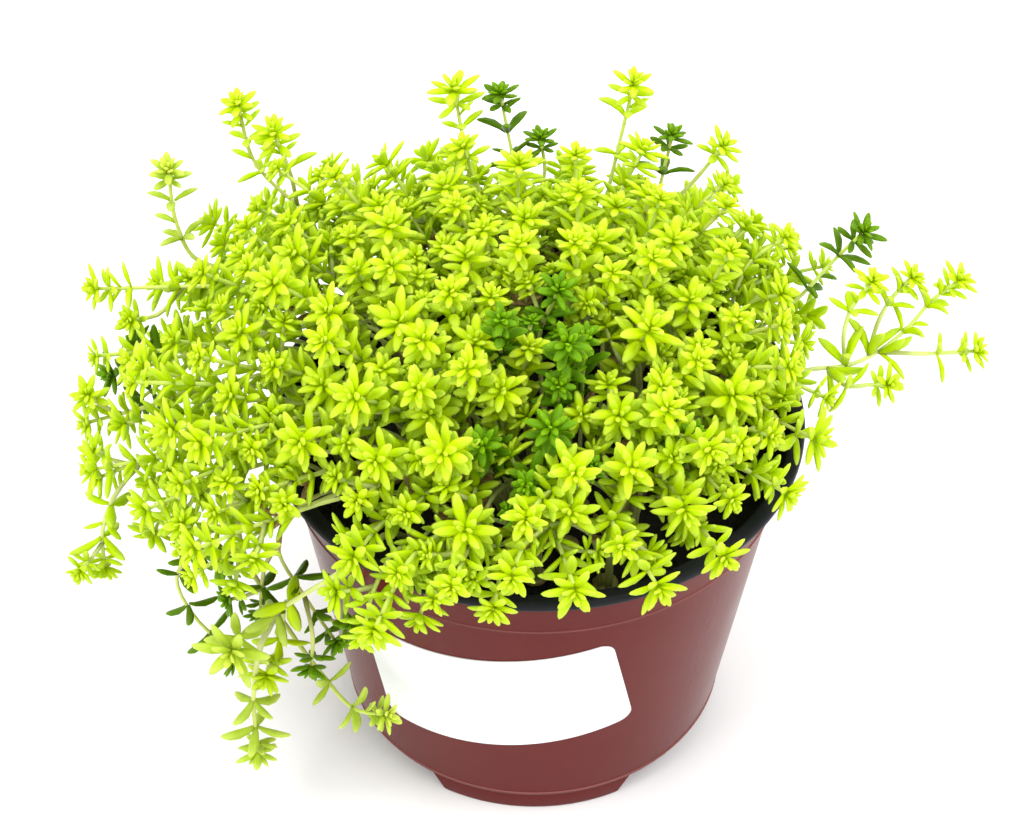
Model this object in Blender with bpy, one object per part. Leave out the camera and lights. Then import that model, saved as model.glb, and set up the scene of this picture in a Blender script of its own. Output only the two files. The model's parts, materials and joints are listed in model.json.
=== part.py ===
"""Potted sedum: a mound of golden stonecrop in a small round nursery pot.

Solids: the pot (one moulded piece on three foot segments), a paper label on its wall, the
potting soil inside it, and the sprigs. A sprig is one plant: a rooted crown with its leafy
shoots. Most sprigs make up the mound; the others reach out of it or trail over the rim.

Lengths are in millimetres up to the point where a mesh is made, and metres from there on.
The pot's axis is Z, the floor is z = 0, and the label faces -Y.
"""
import math
import random

import bmesh
import bpy
import numpy as np
from mathutils import Matrix

MM = 0.001
GAP = 0.3                    # kept between neighbouring pieces
NEAR = 8.0                   # shoots further apart than this can't touch

# Pot
POT_HEIGHT = 82.6
RIM_RADIUS = 57.15           # 4.5 inch pot
RIM_DEPTH = 2.2              # height of the rolled rim
COLLAR_Z = 69.5              # step between the wall and the collar under the rim
COLLAR_RADIUS = 52.2
COLLAR_STEP = 0.6
RIM_OVERHANG = 2.2           # how far the rim stands out past the collar
BASE_Z = 5.0                 # underside of the base, between the feet
BASE_RADIUS = 42.6
WALL = 1.0
POT_SEGMENTS = 64
TAPER = math.atan2(COLLAR_RADIUS - BASE_RADIUS, COLLAR_Z - BASE_Z)

FOOT_COUNT = 3
FOOT_RADIUS = 41.8
FOOT_WIDTH = 8.0
FOOT_HALF_ANGLE_LOW = math.radians(27)
FOOT_HALF_ANGLE_HIGH = math.radians(33)
DRAIN_COUNT = 6
DRAIN_RADIUS = 3.5
DRAIN_CIRCLE = 26.0

# Label
LABEL_WIDTH = 57.15
LABEL_HEIGHT = 31.75
LABEL_CORNER = 3.2
LABEL_THICKNESS = 0.2
LABEL_Z = 41.9               # height of its centre
LABEL_AZIMUTH = math.radians(-100.3)
LABEL_TILT = math.radians(9)
LABEL_COLUMNS = 16

# Soil
SOIL_CENTRE_Z = 71.0
SOIL_EDGE_Z = 69.0
SOIL_SEGMENTS = 40

# Mound of shoots: how far it reaches from the pot's axis, every 30 degrees from +X
MOUND_REACH = (54, 64, 64, 60, 70, 84, 89, 84, 72, 60, 57, 55)
MOUND_EDGE_Z = 86.0
MOUND_TOP_Z = 122.0
MOUND_ROUGHNESS = (-4.5, 3.5)  # how far the heads stand in or out of its surface
TALL_SHARE = 0.1             # share of the heads that stand out further
TALL_RISE = (4.0, 8.0)
LIGHT_LEAN = (0.0, -0.35)    # all heads lean towards the light in front of the pot
HEAD_TURN = 0.17             # scatter of the directions in which the heads face
MOUND_SEED = 7
CROWN_COUNT = 46
CROWN_CIRCLE = 43.0
CROWN_RADIUS = 3.0
CROWN_HEIGHT = 1.5
CROWN_SIDES = 7
CROWN_SHOOTS = 7             # the most shoots that one of the mound's crowns carries
HEAD_SPACING = 9.0
HEAD_SIZES = (4.0, 6.2)      # radii of the leaf stars on the shoots' ends
STEM_RADIUS = 0.75
STEM_STRAIGHTNESS = (0.36, 0.24, 0.5)
RIM_CLIMB = 35.0             # how steeply a stem starts that has to pass over the rim
HEAD_LEAVES = 6
HEAD_RISE = 0.16             # how far a star's tips stand above its centre, over its radius
WHORL_LEAVES = 4
WHORL_RADIUS = 5.6
WHORL_RISE = 0.3
WHORL_FIRST = 8.0            # from the head's centre down to the first lower whorl
WHORL_STEP = 8.5

# Large heads on the mound: x, y, radius
MOUND_HEADS = (
    (22, -15, 7.6), (-27, -16, 7.2), (39, -22, 7.2), (3, -39, 6.6), (29, -45, 7.2),
    (-13, -56, 7.2), (-72, -28, 7.6), (-45, -40, 6.8), (12, 8, 6.6), (-50, 10, 7.0),
)
# Places of the mound that stay open: x, y, radius
MOUND_GAPS = (
    (42, 0, 6.5), (44, 12, 6.0), (46, 22, 6.0), (-45, -55, 9.0), (-57, -53, 8.0),
    (-50, -63, 10.0), (-88, -6, 5.0), (-93, 5, 5.0), (-85, -25, 4.0), (-91, 18, 4.0),
)
# Heads that lean over the rim: x, y, z, radius
RIM_HEADS = (
    (-22, -59, 81.5, 6.0), (-7.5, -60.5, 86, 5.6), (8, -60, 91, 7.0),
    (24, -56, 88, 7.0), (37, -49, 89, 6.0), (57, -16, 90, 7.4), (50, -34, 92, 5.6),
)

# Sprigs that stand out of the mound. A shoot is its colour, the radius of its head, the
# number of whorls below the head, and its way points; the first shoot is rooted in the soil
# and the others branch from it.
OUTER_SPRIGS = {
    "side_branch_right": (
        ("gold", 5.0, 2, ((40, 4), (51, 6, 87), (60, 8, 88), (66, 9, 88), (73, 12, 89.5),
                          (79, 14.5, 94), (84, 17, 100), (89, 18.5, 104))),
        ("gold", 4.5, 2, ((66, 9, 88), (65, 10.5, 95), (66, 12, 101), (70, 14, 107))),
        ("gold", 4.5, 2, ((71, 11.3, 89), (72.5, 14, 96), (75, 16, 101), (79, 18, 105))),
        ("gold", 4.8, 1, ((73, 12, 89.5), (82, 11, 90), (93.5, 11, 91))),
        ("gold", 4.8, 1, ((62, 8.3, 88), (66, 4, 86.5), (70, 3, 88), (74, 2, 89))),
    ),
    "green_sprig_right": (
        ("green", 5.5, 2, ((35, 16), (46, 19, 87), (57, 24, 95), (64, 27, 103), (69, 28, 109))),
    ),
    "trailing_stem_left": (
        ("pale", 8.5, 0, ((-25, -29), (-31, -43, 86), (-37, -50, 85), (-46, -49, 76),
                          (-54, -45, 65), (-59, -44, 60), (-61, -50, 60.5))),
        ("pale", 5.0, 2, ((-52, -46, 67.8), (-57, -43, 52), (-59, -44, 38), (-59, -45, 22))),
        ("gold", 6.0, 1, ((-49, -47.5, 71.9), (-52, -36, 58), (-54, -36, 46), (-56, -42, 44))),
    ),
    "rim_sprig_front_left": (
        ("gold", 5.8, 1, ((-18, -36), (-22, -45, 88), (-27, -51, 91), (-31, -58, 87),
                          (-33, -61, 78))),
    ),
    "trailing_green_runner": (
        ("green", 4.0, 4, ((-37, -17), (-49, -23, 87), (-62, -27, 80), (-70, -29, 69),
                           (-75, -30, 60), (-72, -32, 51), (-67, -34, 45), (-64, -35, 40))),
    ),
    "trailing_green_bunch": (
        ("green", 5.0, 2, ((-32, -22), (-38, -28, 86), (-48, -36, 87), (-52, -37, 78),
                           (-47, -40, 66), (-41, -43, 56))),
        ("green", 4.2, 1, ((-52, -37, 78), (-56, -33, 66), (-57.5, -33.5, 54))),
        ("green", 4.6, 0, ((-47, -40, 66), (-45, -47, 61), (-45.5, -49, 54.5))),
    ),
    "trailing_pale_shoots": (
        ("pale", 4.4, 2, ((-40, -9), (-46, -16, 88), (-58, -20, 86), (-62, -24, 70),
                          (-54, -28, 46), (-45, -36, 37), (-37, -44, 35), (-31, -46, 36))),
        ("green", 6.0, 0, ((-60, -22, 78), (-62, -28, 73), (-64, -33, 68))),
    ),
    "left_spray_low": (
        ("gold", 5.0, 2, ((-40, -1), (-52, -9, 88), (-68, -13, 86), (-82, -15, 80),
                          (-91, -16, 76))),
        ("gold", 4.2, 2, ((-82, -15, 80), (-88, -20, 74), (-91, -22, 66), (-91.5, -23, 56))),
        ("gold", 6.0, 1, ((-68, -13, 86), (-76, -19, 75), (-80, -22, 66))),
    ),
    "left_spray_high": (
        ("gold", 4.6, 1, ((-40, 7), (-52, 3, 89), (-70, -3, 89), (-84, -6, 86), (-94, -8, 84))),
        ("gold", 5.0, 0, ((-70, -3, 89), (-79, -4.5, 94), (-84, -4, 97))),
    ),
    "green_sprig_left": (
        ("green", 5.5, 1, ((-38, 15), (-51, 13, 89), (-70, 9, 90), (-82, 6, 88), (-90, 4, 87))),
        ("green", 5.0, 0, ((-70, 9, 90), (-78, 3.5, 87), (-84, 1, 83))),
    ),
    "reaching_sprig_left": (
        ("gold", 5.4, 3, ((-34, 23), (-47, 23, 92), (-64, 18, 100), (-79, 15, 102),
                          (-93, 13, 103))),
        ("gold", 4.2, 0, ((-75.5, 15.7, 101.5), (-81, 13, 96), (-86, 10, 97))),
    ),
    "pale_sprig_back_left": (
        ("pale", 4.6, 2, ((-30, 30), (-46, 33, 90), (-66, 34, 91), (-76, 35, 94),
                          (-79, 36, 102), (-80, 38, 115))),
    ),
    "tall_sprigs_back_left": (
        ("gold", 4.6, 2, ((-23, 35), (-38, 43, 92), (-54, 48, 99), (-63, 51, 108),
                          (-66, 53, 122))),
        ("gold", 5.8, 1, ((-54, 48, 99), (-55, 47, 109), (-58, 48, 118))),
    ),
    "tall_sprig_back": (
        ("gold", 6.4, 1, ((-12, 40), (-15, 50, 100), (-19, 58, 123))),
    ),
    "green_sprig_back": (
        ("green", 4.6, 2, ((-2, 41), (-5, 54, 100), (-9, 61, 120))),
        ("green", 4.2, 0, ((-4, 50, 92), (1, 55, 104), (0, 57, 111))),
    ),
    "tall_sprigs_back_right": (
        ("gold", 5.4, 2, ((9, 41), (15, 52, 100), (20, 57, 126))),
    ),
    "green_sprig_back_right": (
        ("green", 5.0, 1, ((19, 37), (25, 50, 94), (29, 57, 112))),
        ("gold", 5.2, 0, ((25, 50, 94), (34, 53, 103), (40, 54, 112))),
    ),
}

LEAF_COLOURS = {
    "gold": (0.55, 0.74, 0.02, 1.0),
    "pale": (0.62, 0.74, 0.16, 1.0),
    "green": (0.05, 0.17, 0.03, 1.0),
}


# ---------------------------------------------------------------- places of the shoots

def mound_reach(azimuth):
    """Radius of the mound's edge in one direction, smooth between the given directions."""
    steps = len(MOUND_REACH)
    place = (azimuth / math.tau * steps) % steps
    index = int(place)
    blend = (1 - math.cos((place - index) * math.pi)) / 2
    return MOUND_REACH[index] * (1 - blend) + MOUND_REACH[(index + 1) % steps] * blend


def mound_point(azimuth, rise):
    """Point of the mound's surface: rise is 0 at its edge and 1 at its top."""
    radius = mound_reach(azimuth) * math.sqrt(1 - rise * rise)
    height = MOUND_EDGE_Z + (MOUND_TOP_Z - MOUND_EDGE_Z) * rise
    return np.array((radius * math.cos(azimuth), radius * math.sin(azimuth), height))


def mound_normal(point):
    """Direction out of the mound, and rather up."""
    azimuth = math.atan2(point[1], point[0])
    share = min(1.0, math.hypot(point[0], point[1]) / mound_reach(azimuth))
    lean = math.radians(68) * share ** 1.6
    direction = (math.sin(lean) * math.cos(azimuth), math.sin(lean) * math.sin(azimuth))
    return np.array((*direction, math.cos(lean)))


def facing(point, draw):
    """Direction in which a shoot's head faces: out of the mound and towards the light."""
    x, y = (lean + draw.gauss(0, HEAD_TURN) for lean in LIGHT_LEAN)
    direction = mound_normal(point) + np.array((x, y, 0.0))
    return direction / np.linalg.norm(direction)


def wall_radius(z):
    """Outer radius of the pot at one or more heights."""
    wall = BASE_RADIUS + np.maximum(0.0, z - BASE_Z) * math.tan(TAPER)
    wall = wall + COLLAR_STEP * (z > COLLAR_Z)
    return np.where(z > POT_HEIGHT - RIM_DEPTH, RIM_RADIUS, wall)


def soil_height(radius):
    """Height of the soil's surface at a distance from the pot's axis."""
    return SOIL_CENTRE_Z + (SOIL_EDGE_Z - SOIL_CENTRE_Z) * (radius / CROWN_CIRCLE) ** 2


def crown_places():
    """Where the mound's crowns stand: a sunflower spiral, clear of the outer sprigs' own."""
    taken = [np.array(shoots[0][3][0]) for shoots in OUTER_SPRIGS.values()]
    places = []
    for index in range(CROWN_COUNT):
        radius = CROWN_CIRCLE * math.sqrt((index + 0.5) / CROWN_COUNT)
        angle = index * math.pi * (3 - math.sqrt(5))
        place = np.array((radius * math.cos(angle), radius * math.sin(angle)))
        if all(np.linalg.norm(place - other) > 2 * CROWN_RADIUS + 0.5 for other in taken):
            places.append(place)
    return places


def mound_heads(draw):
    """Places and radii of the mound's heads: the given ones, then others spread between."""
    heads = []
    for x, y, radius in MOUND_HEADS:
        azimuth = math.atan2(y, x)
        share = min(1.0, math.hypot(x, y) / mound_reach(azimuth))
        heads.append((mound_point(azimuth, math.sqrt(1 - share * share)), radius))
    heads += [(np.array((x, y, z)), radius) for x, y, z, radius in RIM_HEADS]
    outer = [np.array(shoot[3][-1]) for shoots in OUTER_SPRIGS.values() for shoot in shoots]
    for _ in range(9000):
        azimuth = draw.uniform(0, math.tau)
        rise = draw.uniform(-0.12, 1)
        place = mound_point(azimuth, rise)
        stands_out = TALL_RISE if draw.random() < TALL_SHARE else MOUND_ROUGHNESS
        place = place + mound_normal(place) * draw.uniform(*stands_out)
        spacing = HEAD_SPACING * draw.uniform(0.88, 1.15)
        near = [np.linalg.norm(place - other) - radius for other, radius in heads]
        near += [np.linalg.norm(place - other) - 4 for other in outer]
        in_gap = any(math.dist(place[:2], gap[:2]) < gap[2] for gap in MOUND_GAPS)
        if min(near) > spacing / 2 and not in_gap:
            smallest, largest = HEAD_SIZES
            heads.append((place, min(largest, max(smallest, min(near) - 0.6))))
    return heads


def bezier(a, b, c, d, steps):
    """Points on a cubic curve from a to d."""
    points = []
    for index in range(steps + 1):
        t = index / steps
        s = 1 - t
        points.append(a * s ** 3 + b * 3 * s * s * t + c * 3 * s * t * t + d * t ** 3)
    return np.array(points)


def mound_stem(crown, place, heading, straightness):
    """Way points of a stem from its crown up to a head on the mound, over the pot's rim."""
    outward = place[:2] - crown[:2]
    distance = np.linalg.norm(outward)
    side = outward / distance if distance > 1e-6 else np.zeros(2)
    start = np.array((*(crown[:2] + side * min(1.6, distance / 3)), crown[2]))
    over_rim = np.linalg.norm(place[:2]) > RIM_RADIUS - 8
    climb = max(0.5 * (place[2] - start[2]), RIM_CLIMB if over_rim else 12)
    first = start + np.array((*(outward * (0.05 if over_rim else 0.2)), climb))
    second = place - heading * straightness * np.linalg.norm(place - start)
    if over_rim:
        second[2] = max(second[2], POT_HEIGHT + 4)
    return bezier(start, first, second, place, 4 if over_rim else 3)


def whorl_distances(length, count):
    """Distances of the lower whorls from the head, as many as the stem has room for."""
    distances = [WHORL_FIRST + WHORL_STEP * index for index in range(count)]
    return [distance for distance in distances if distance < length - 4]


def point_back(path, distance):
    """Point on a stem and the stem's direction there, at a distance back from its end."""
    for end, start in zip(path[:0:-1], path[-2::-1]):
        step = end - start
        length = np.linalg.norm(step)
        if distance <= length:
            return end - step * (distance / length), step / length
        distance -= length
    step = path[1] - path[0]
    return path[0], step / np.linalg.norm(step)


def path_length(path):
    return float(np.linalg.norm(np.diff(path, axis=0), axis=1).sum())


def side_axes(direction):
    """Two axes square to a direction."""
    helper = np.array((0.0, 0.0, 1.0)) if abs(direction[2]) < 0.9 else np.array((1.0, 0, 0))
    first = np.cross(helper, direction)
    first /= np.linalg.norm(first)
    return first, np.cross(direction, first)


def star_points(centre, direction, radius, leaves, phase, rise, share):
    """Points at a share of the radius along each leaf of a star."""
    first, second = side_axes(direction)
    points = []
    for index in range(leaves):
        angle = phase + math.tau * index / leaves
        side = first * math.cos(angle) + second * math.sin(angle)
        points.append(centre + (side + direction * rise) * radius * share)
    return points


class Shoot:
    """One stem with its head and its lower whorls."""

    def __init__(self, sprig, crown, tint, path, head, whorls, phase=0.0):
        self.sprig = sprig
        self.crown = crown
        self.tint = tint
        self.path = path
        self.head = head
        self.phase = phase
        self.whorls = whorl_distances(path_length(path), whorls)

    def stem_spheres(self):
        """Small spheres along the stem: rows of x, y, z and radius."""
        rows = []
        for start, end in zip(self.path[:-1], self.path[1:]):
            count = max(1, int(np.linalg.norm(end - start) / 1.2))
            for index in range(count):
                rows.append((*(start + (end - start) * index / count), STEM_RADIUS))
        return np.array(rows)

    def star_spheres(self):
        """Small spheres that fill the head and the lower whorls."""
        rows = []
        stars = [(0.0, self.head, HEAD_LEAVES, HEAD_RISE)]
        stars += [(distance, WHORL_RADIUS, WHORL_LEAVES, WHORL_RISE) for distance in self.whorls]
        for back, radius, leaves, rise in stars:
            centre, direction = point_back(self.path, back)
            rows.append((*(centre + direction * 0.1 * radius), 0.4 * radius))
            for share, thick in ((0.5, 1.1), (0.68, 0.9), (0.84, 0.6), (1.0, 0.3)):
                for point in star_points(centre, direction, radius, leaves, self.phase,
                                         rise, share):
                    rows.append((*point, thick))
        return np.array(rows)


def clears_pot(spheres):
    """Whether spheres stay above the floor and out of the pot's wall and rim."""
    distance = np.hypot(spheres[:, 0], spheres[:, 1])
    room = spheres[:, 3] + GAP
    low = spheres[:, 2] - room
    beside = low < POT_HEIGHT
    outside = distance - room > wall_radius(np.minimum(spheres[:, 2] + room, POT_HEIGHT))
    inside = distance + room < wall_radius(low) - WALL - RIM_OVERHANG
    return bool(low.min() > 0 and np.all(~beside | outside | inside))


def clears_others(spheres, others):
    """Whether spheres stay a gap away from the shoots of other sprigs."""
    low, high = spheres[:, :3].min(axis=0) - NEAR, spheres[:, :3].max(axis=0) + NEAR
    others = others[np.all((others[:, :3] > low) & (others[:, :3] < high), axis=1)]
    if not len(others):
        return True
    away = spheres[:, None, :3] - others[None, :, :3]
    gaps = np.sqrt((away ** 2).sum(axis=2)) - spheres[:, None, 3] - others[None, :, 3]
    return gaps.min() > GAP


def settle(shoot, spheres_by_sprig):
    """Turn or shrink a shoot's head until it is clear of everything; False if it can't be."""
    others = [rows for name, rows in spheres_by_sprig.items() if name != shoot.sprig]
    others = np.concatenate(others) if others else np.zeros((0, 4))
    stem = shoot.stem_spheres()
    if not (clears_pot(stem) and clears_others(stem, others)):
        return False
    full_head = shoot.head
    for size in (1.0, 0.9, 0.8, 0.7):
        for turn in range(4):
            shoot.head = full_head * size
            shoot.phase = math.radians(15) * turn
            stars = shoot.star_spheres()
            if clears_pot(stars) and clears_others(stars, others):
                own = spheres_by_sprig.get(shoot.sprig, np.zeros((0, 4)))
                spheres_by_sprig[shoot.sprig] = np.concatenate((own, stem, stars))
                return True
    return False


def crown_point(x, y):
    """Middle of a crown that stands on the soil."""
    return np.array((x, y, soil_height(math.hypot(x, y)) + GAP + CROWN_HEIGHT))


def outer_shoots(spheres_by_sprig):
    """The shoots of the sprigs that stand out of the mound."""
    shoots = []
    for name, rows in OUTER_SPRIGS.items():
        x, y = rows[0][3][0]
        for tint, head, whorls, points in rows:
            root = [crown_point(x, y)] if len(points[0]) == 2 else [points[0]]
            path = np.array([*root, *points[1:]], float)
            shoot = Shoot(name, (x, y), tint, path, head, whorls)
            if settle(shoot, spheres_by_sprig):
                shoots.append(shoot)
            else:
                print("no room for", name, points[-1])
    return shoots


def mound_shoot(place, radius, heading, crowns, used, spheres_by_sprig):
    """A shoot from one of the nearest crowns to a head of the mound, clear of all others."""
    azimuth = math.atan2(place[1], place[0])
    below = place[:2] * CROWN_CIRCLE / mound_reach(azimuth)
    nearest = sorted(range(len(crowns)), key=lambda index: math.dist(crowns[index], below))
    full = [index for index in set(used) if used.count(index) >= CROWN_SHOOTS]
    for index in [index for index in nearest if index not in full][:4]:
        for straightness in STEM_STRAIGHTNESS:
            stem = mound_stem(crown_point(*crowns[index]), place, heading, straightness)
            shoot = Shoot(f"mound_{index}", crowns[index], "gold", stem, radius, 0)
            if settle(shoot, spheres_by_sprig):
                used.append(index)
                return shoot
    return None


def lay_out_shoots():
    """All shoots of the plant, none touching the pot or a shoot of another sprig."""
    spheres_by_sprig = {}
    shoots = outer_shoots(spheres_by_sprig)
    crowns = crown_places()
    used = []
    draw = random.Random(MOUND_SEED)
    mound = [mound_shoot(place, radius, facing(place, draw), crowns, used, spheres_by_sprig)
             for place, radius in mound_heads(draw)]
    mound = [shoot for shoot in mound if shoot]
    names = sorted({shoot.sprig for shoot in mound}, key=lambda name: int(name[6:]))
    for shoot in mound:
        shoot.sprig = f"golden_sprig_{names.index(shoot.sprig) + 1:02d}"
    return shoots + mound


# ---------------------------------------------------------------- meshes

def new_object(name, mesh, colour, roughness, smooth_angle=None):
    """Object in metres, with its own Principled material, from a mesh in millimetres."""
    mesh.transform(Matrix.Scale(MM, 4))
    material = bpy.data.materials.new(name)
    material.use_nodes = True
    shader = material.node_tree.nodes["Principled BSDF"]
    shader.inputs["Base Color"].default_value = colour
    shader.inputs["Roughness"].default_value = roughness
    shader.inputs["Metallic"].default_value = 0.0
    mesh.materials.append(material)
    if smooth_angle is not None:
        mesh.shade_smooth()
        mesh.set_sharp_from_angle(angle=smooth_angle)
    thing = bpy.data.objects.new(name, mesh)
    bpy.context.scene.collection.objects.link(thing)
    return thing


def mesh_from(points, faces):
    mesh = bpy.data.meshes.new("shape")
    mesh.from_pydata([tuple(float(value) for value in point) for point in points], [], faces)
    mesh.update()
    return mesh


def helper_object(mesh):
    """Object that only serves a Boolean."""
    thing = bpy.data.objects.new("helper", mesh)
    thing.hide_render = True
    thing.display_type = 'WIRE'
    bpy.context.scene.collection.objects.link(thing)
    return thing


def combine(mesh, others, operation):
    """The mesh after a union with, or a cut by, each of the others."""
    base = helper_object(mesh)
    helpers = [helper_object(other) for other in others]
    for helper in helpers:
        cut = base.modifiers.new("combine", 'BOOLEAN')
        cut.operation = operation
        cut.solver = 'EXACT'
        cut.object = helper
    shape = base.evaluated_get(bpy.context.evaluated_depsgraph_get())
    result = bpy.data.meshes.new_from_object(shape)
    result.materials.clear()
    for helper in (base, *helpers):
        bpy.data.objects.remove(helper)
    return result


def turned(profile, segments):
    """Solid of revolution; the profile runs from the axis, below, up to the axis again."""
    shape = bmesh.new()
    points = [shape.verts.new((float(radius), 0, z)) for radius, z in profile]
    edges = [shape.edges.new(pair) for pair in zip(points[:-1], points[1:])]
    bmesh.ops.spin(shape, geom=points + edges, axis=(0, 0, 1), cent=(0, 0, 0),
                   angle=math.tau, steps=segments, use_merge=True)
    bmesh.ops.remove_doubles(shape, verts=shape.verts, dist=0.001)
    bmesh.ops.recalc_face_normals(shape, faces=shape.faces)
    mesh = bpy.data.meshes.new("turned")
    shape.to_mesh(mesh)
    shape.free()
    return mesh


def pot_profile():
    """Section of the pot: from under the base's middle, up the outside and down the inside."""
    rim_low = POT_HEIGHT - RIM_DEPTH
    collar_top = wall_radius(rim_low)
    return (
        (0.0, BASE_Z),
        (BASE_RADIUS - 0.4, BASE_Z),
        (BASE_RADIUS, BASE_Z + 0.6),
        (COLLAR_RADIUS, COLLAR_Z),
        (COLLAR_RADIUS + COLLAR_STEP, COLLAR_Z + 0.7),
        (collar_top, rim_low),
        (RIM_RADIUS - 0.6, rim_low),
        (RIM_RADIUS, rim_low + 0.6),
        (RIM_RADIUS, POT_HEIGHT - 0.9),
        (RIM_RADIUS - 0.8, POT_HEIGHT),
        (collar_top - 0.3, POT_HEIGHT),
        (collar_top - WALL, POT_HEIGHT - 1.0),
        (COLLAR_RADIUS + COLLAR_STEP - WALL, COLLAR_Z + 0.9),
        (COLLAR_RADIUS - WALL, COLLAR_Z),
        (BASE_RADIUS - WALL, BASE_Z + WALL + 0.6),
        (BASE_RADIUS - WALL - 0.6, BASE_Z + WALL),
        (0.0, BASE_Z + WALL),
    )


def foot(azimuth):
    """One foot segment: an arc under the base with sloping ends."""
    steps = 10
    points = []
    for radius, z, half in (
        (FOOT_RADIUS - FOOT_WIDTH, 0.0, FOOT_HALF_ANGLE_LOW),
        (FOOT_RADIUS, 0.0, FOOT_HALF_ANGLE_LOW),
        (FOOT_RADIUS, BASE_Z + 0.5, FOOT_HALF_ANGLE_HIGH),
        (FOOT_RADIUS - FOOT_WIDTH, BASE_Z + 0.5, FOOT_HALF_ANGLE_HIGH),
    ):
        for index in range(steps + 1):
            angle = azimuth + half * (2 * index / steps - 1)
            points.append((radius * math.cos(angle), radius * math.sin(angle), z))
    row = steps + 1
    faces = []
    for side in range(4):
        for index in range(steps):
            low = side * row + index
            high = (side + 1) % 4 * row + index
            faces += [(low, low + 1, high + 1), (low, high + 1, high)]
    faces.append((0, row, 2 * row, 3 * row))
    faces.append((3 * row + steps, 2 * row + steps, row + steps, steps))
    return mesh_from(points, faces)


def drain(index):
    """Cutter of one drain hole in the base."""
    angle = math.tau * (index + 0.5) / DRAIN_COUNT
    shape = bmesh.new()
    place = Matrix.Translation((DRAIN_CIRCLE * math.cos(angle), DRAIN_CIRCLE * math.sin(angle),
                                BASE_Z + WALL / 2))
    bmesh.ops.create_cone(shape, cap_ends=True, segments=12, radius1=DRAIN_RADIUS,
                          radius2=DRAIN_RADIUS, depth=3 * WALL, matrix=place)
    mesh = bpy.data.meshes.new("drain")
    shape.to_mesh(mesh)
    shape.free()
    return mesh


def make_pot():
    body = turned(pot_profile(), POT_SEGMENTS)
    body = combine(body, [drain(index) for index in range(DRAIN_COUNT)], 'DIFFERENCE')
    feet = [foot(math.radians(-90) + math.tau * index / FOOT_COUNT)
            for index in range(FOOT_COUNT)]
    body = combine(body, feet, 'UNION')
    new_object("pot", body, (0.19, 0.045, 0.04, 1.0), 0.35, math.radians(35))


def label_point(u, v, lift):
    """Point on the pot's wall from a place on the flat label, which is tilted a little."""
    across = u * math.cos(LABEL_TILT) - v * math.sin(LABEL_TILT)
    up = u * math.sin(LABEL_TILT) + v * math.cos(LABEL_TILT)
    from_apex = wall_radius(LABEL_Z) / math.sin(TAPER)
    slant = math.hypot(across, from_apex + up)
    turn = math.atan2(across, from_apex + up) / math.sin(TAPER)
    radius = slant * math.sin(TAPER) + lift * math.cos(TAPER)
    z = LABEL_Z + (slant - from_apex) * math.cos(TAPER) - lift * math.sin(TAPER)
    angle = LABEL_AZIMUTH + turn
    return (radius * math.cos(angle), radius * math.sin(angle), z)


def label_columns():
    """Places across the label and its half height at each, with rounded corners."""
    half = LABEL_WIDTH / 2
    straight = half - LABEL_CORNER
    corner = [(straight + LABEL_CORNER * math.sin(angle),
               LABEL_HEIGHT / 2 - LABEL_CORNER * (1 - math.cos(angle)))
              for angle in (math.radians(step) for step in (30, 60, 90))]
    middle = [(straight * (2 * index / LABEL_COLUMNS - 1), LABEL_HEIGHT / 2)
              for index in range(LABEL_COLUMNS + 1)]
    return [(-u, height) for u, height in reversed(corner)] + middle + corner


def make_label():
    columns = label_columns()
    points = []
    for lift in (GAP, GAP + LABEL_THICKNESS):
        for u, height in columns:
            points.append(label_point(u, -height, lift))
            points.append(label_point(u, height, lift))
    sheet = 2 * len(columns)
    faces = []
    for index in range(0, sheet - 2, 2):
        low, high, next_low, next_high = index, index + 1, index + 2, index + 3
        faces.append((low, high, next_high, next_low))
        faces.append((sheet + low, sheet + next_low, sheet + next_high, sheet + high))
        faces.append((low, next_low, sheet + next_low, sheet + low))
        faces.append((high, sheet + high, sheet + next_high, next_high))
    faces.append((0, sheet, sheet + 1, 1))
    faces.append((sheet - 2, sheet - 1, 2 * sheet - 1, 2 * sheet - 2))
    new_object("label", mesh_from(points, faces), (0.9, 0.9, 0.9, 1.0), 0.4)


def make_soil():
    """The root ball: it fills the pot up to a slightly domed surface."""
    inside = COLLAR_RADIUS - WALL - GAP
    bottom = BASE_RADIUS - WALL - GAP
    floor_z = BASE_Z + WALL + GAP
    radii = (0, 16, 32, 44)
    profile = [(0, floor_z), (bottom - 0.8, floor_z), (bottom, floor_z + 0.8),
               (inside - 0.6, SOIL_EDGE_Z - 0.6)]
    profile += [(radius, soil_height(radius)) for radius in reversed(radii)]
    mesh = turned(profile, SOIL_SEGMENTS)
    new_object("soil", mesh, (0.03, 0.022, 0.016, 1.0), 0.95)


def stitch(low, high):
    """Triangles between two loops of (angle, point index), the low one below the high one."""
    def angle(loop, index):
        return loop[index % len(loop)][0] + math.tau * (index // len(loop))

    faces = []
    a = b = 0
    while a < len(low) or b < len(high):
        low_now, high_now = low[a % len(low)][1], high[b % len(high)][1]
        low_first = b == len(high) or (a < len(low) and angle(low, a + 1) <= angle(high, b + 1))
        if low_first:
            a += 1
            faces.append((low_now, low[a % len(low)][1], high_now))
        else:
            b += 1
            faces.append((low_now, high[b % len(high)][1], high_now))
    return faces


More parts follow.
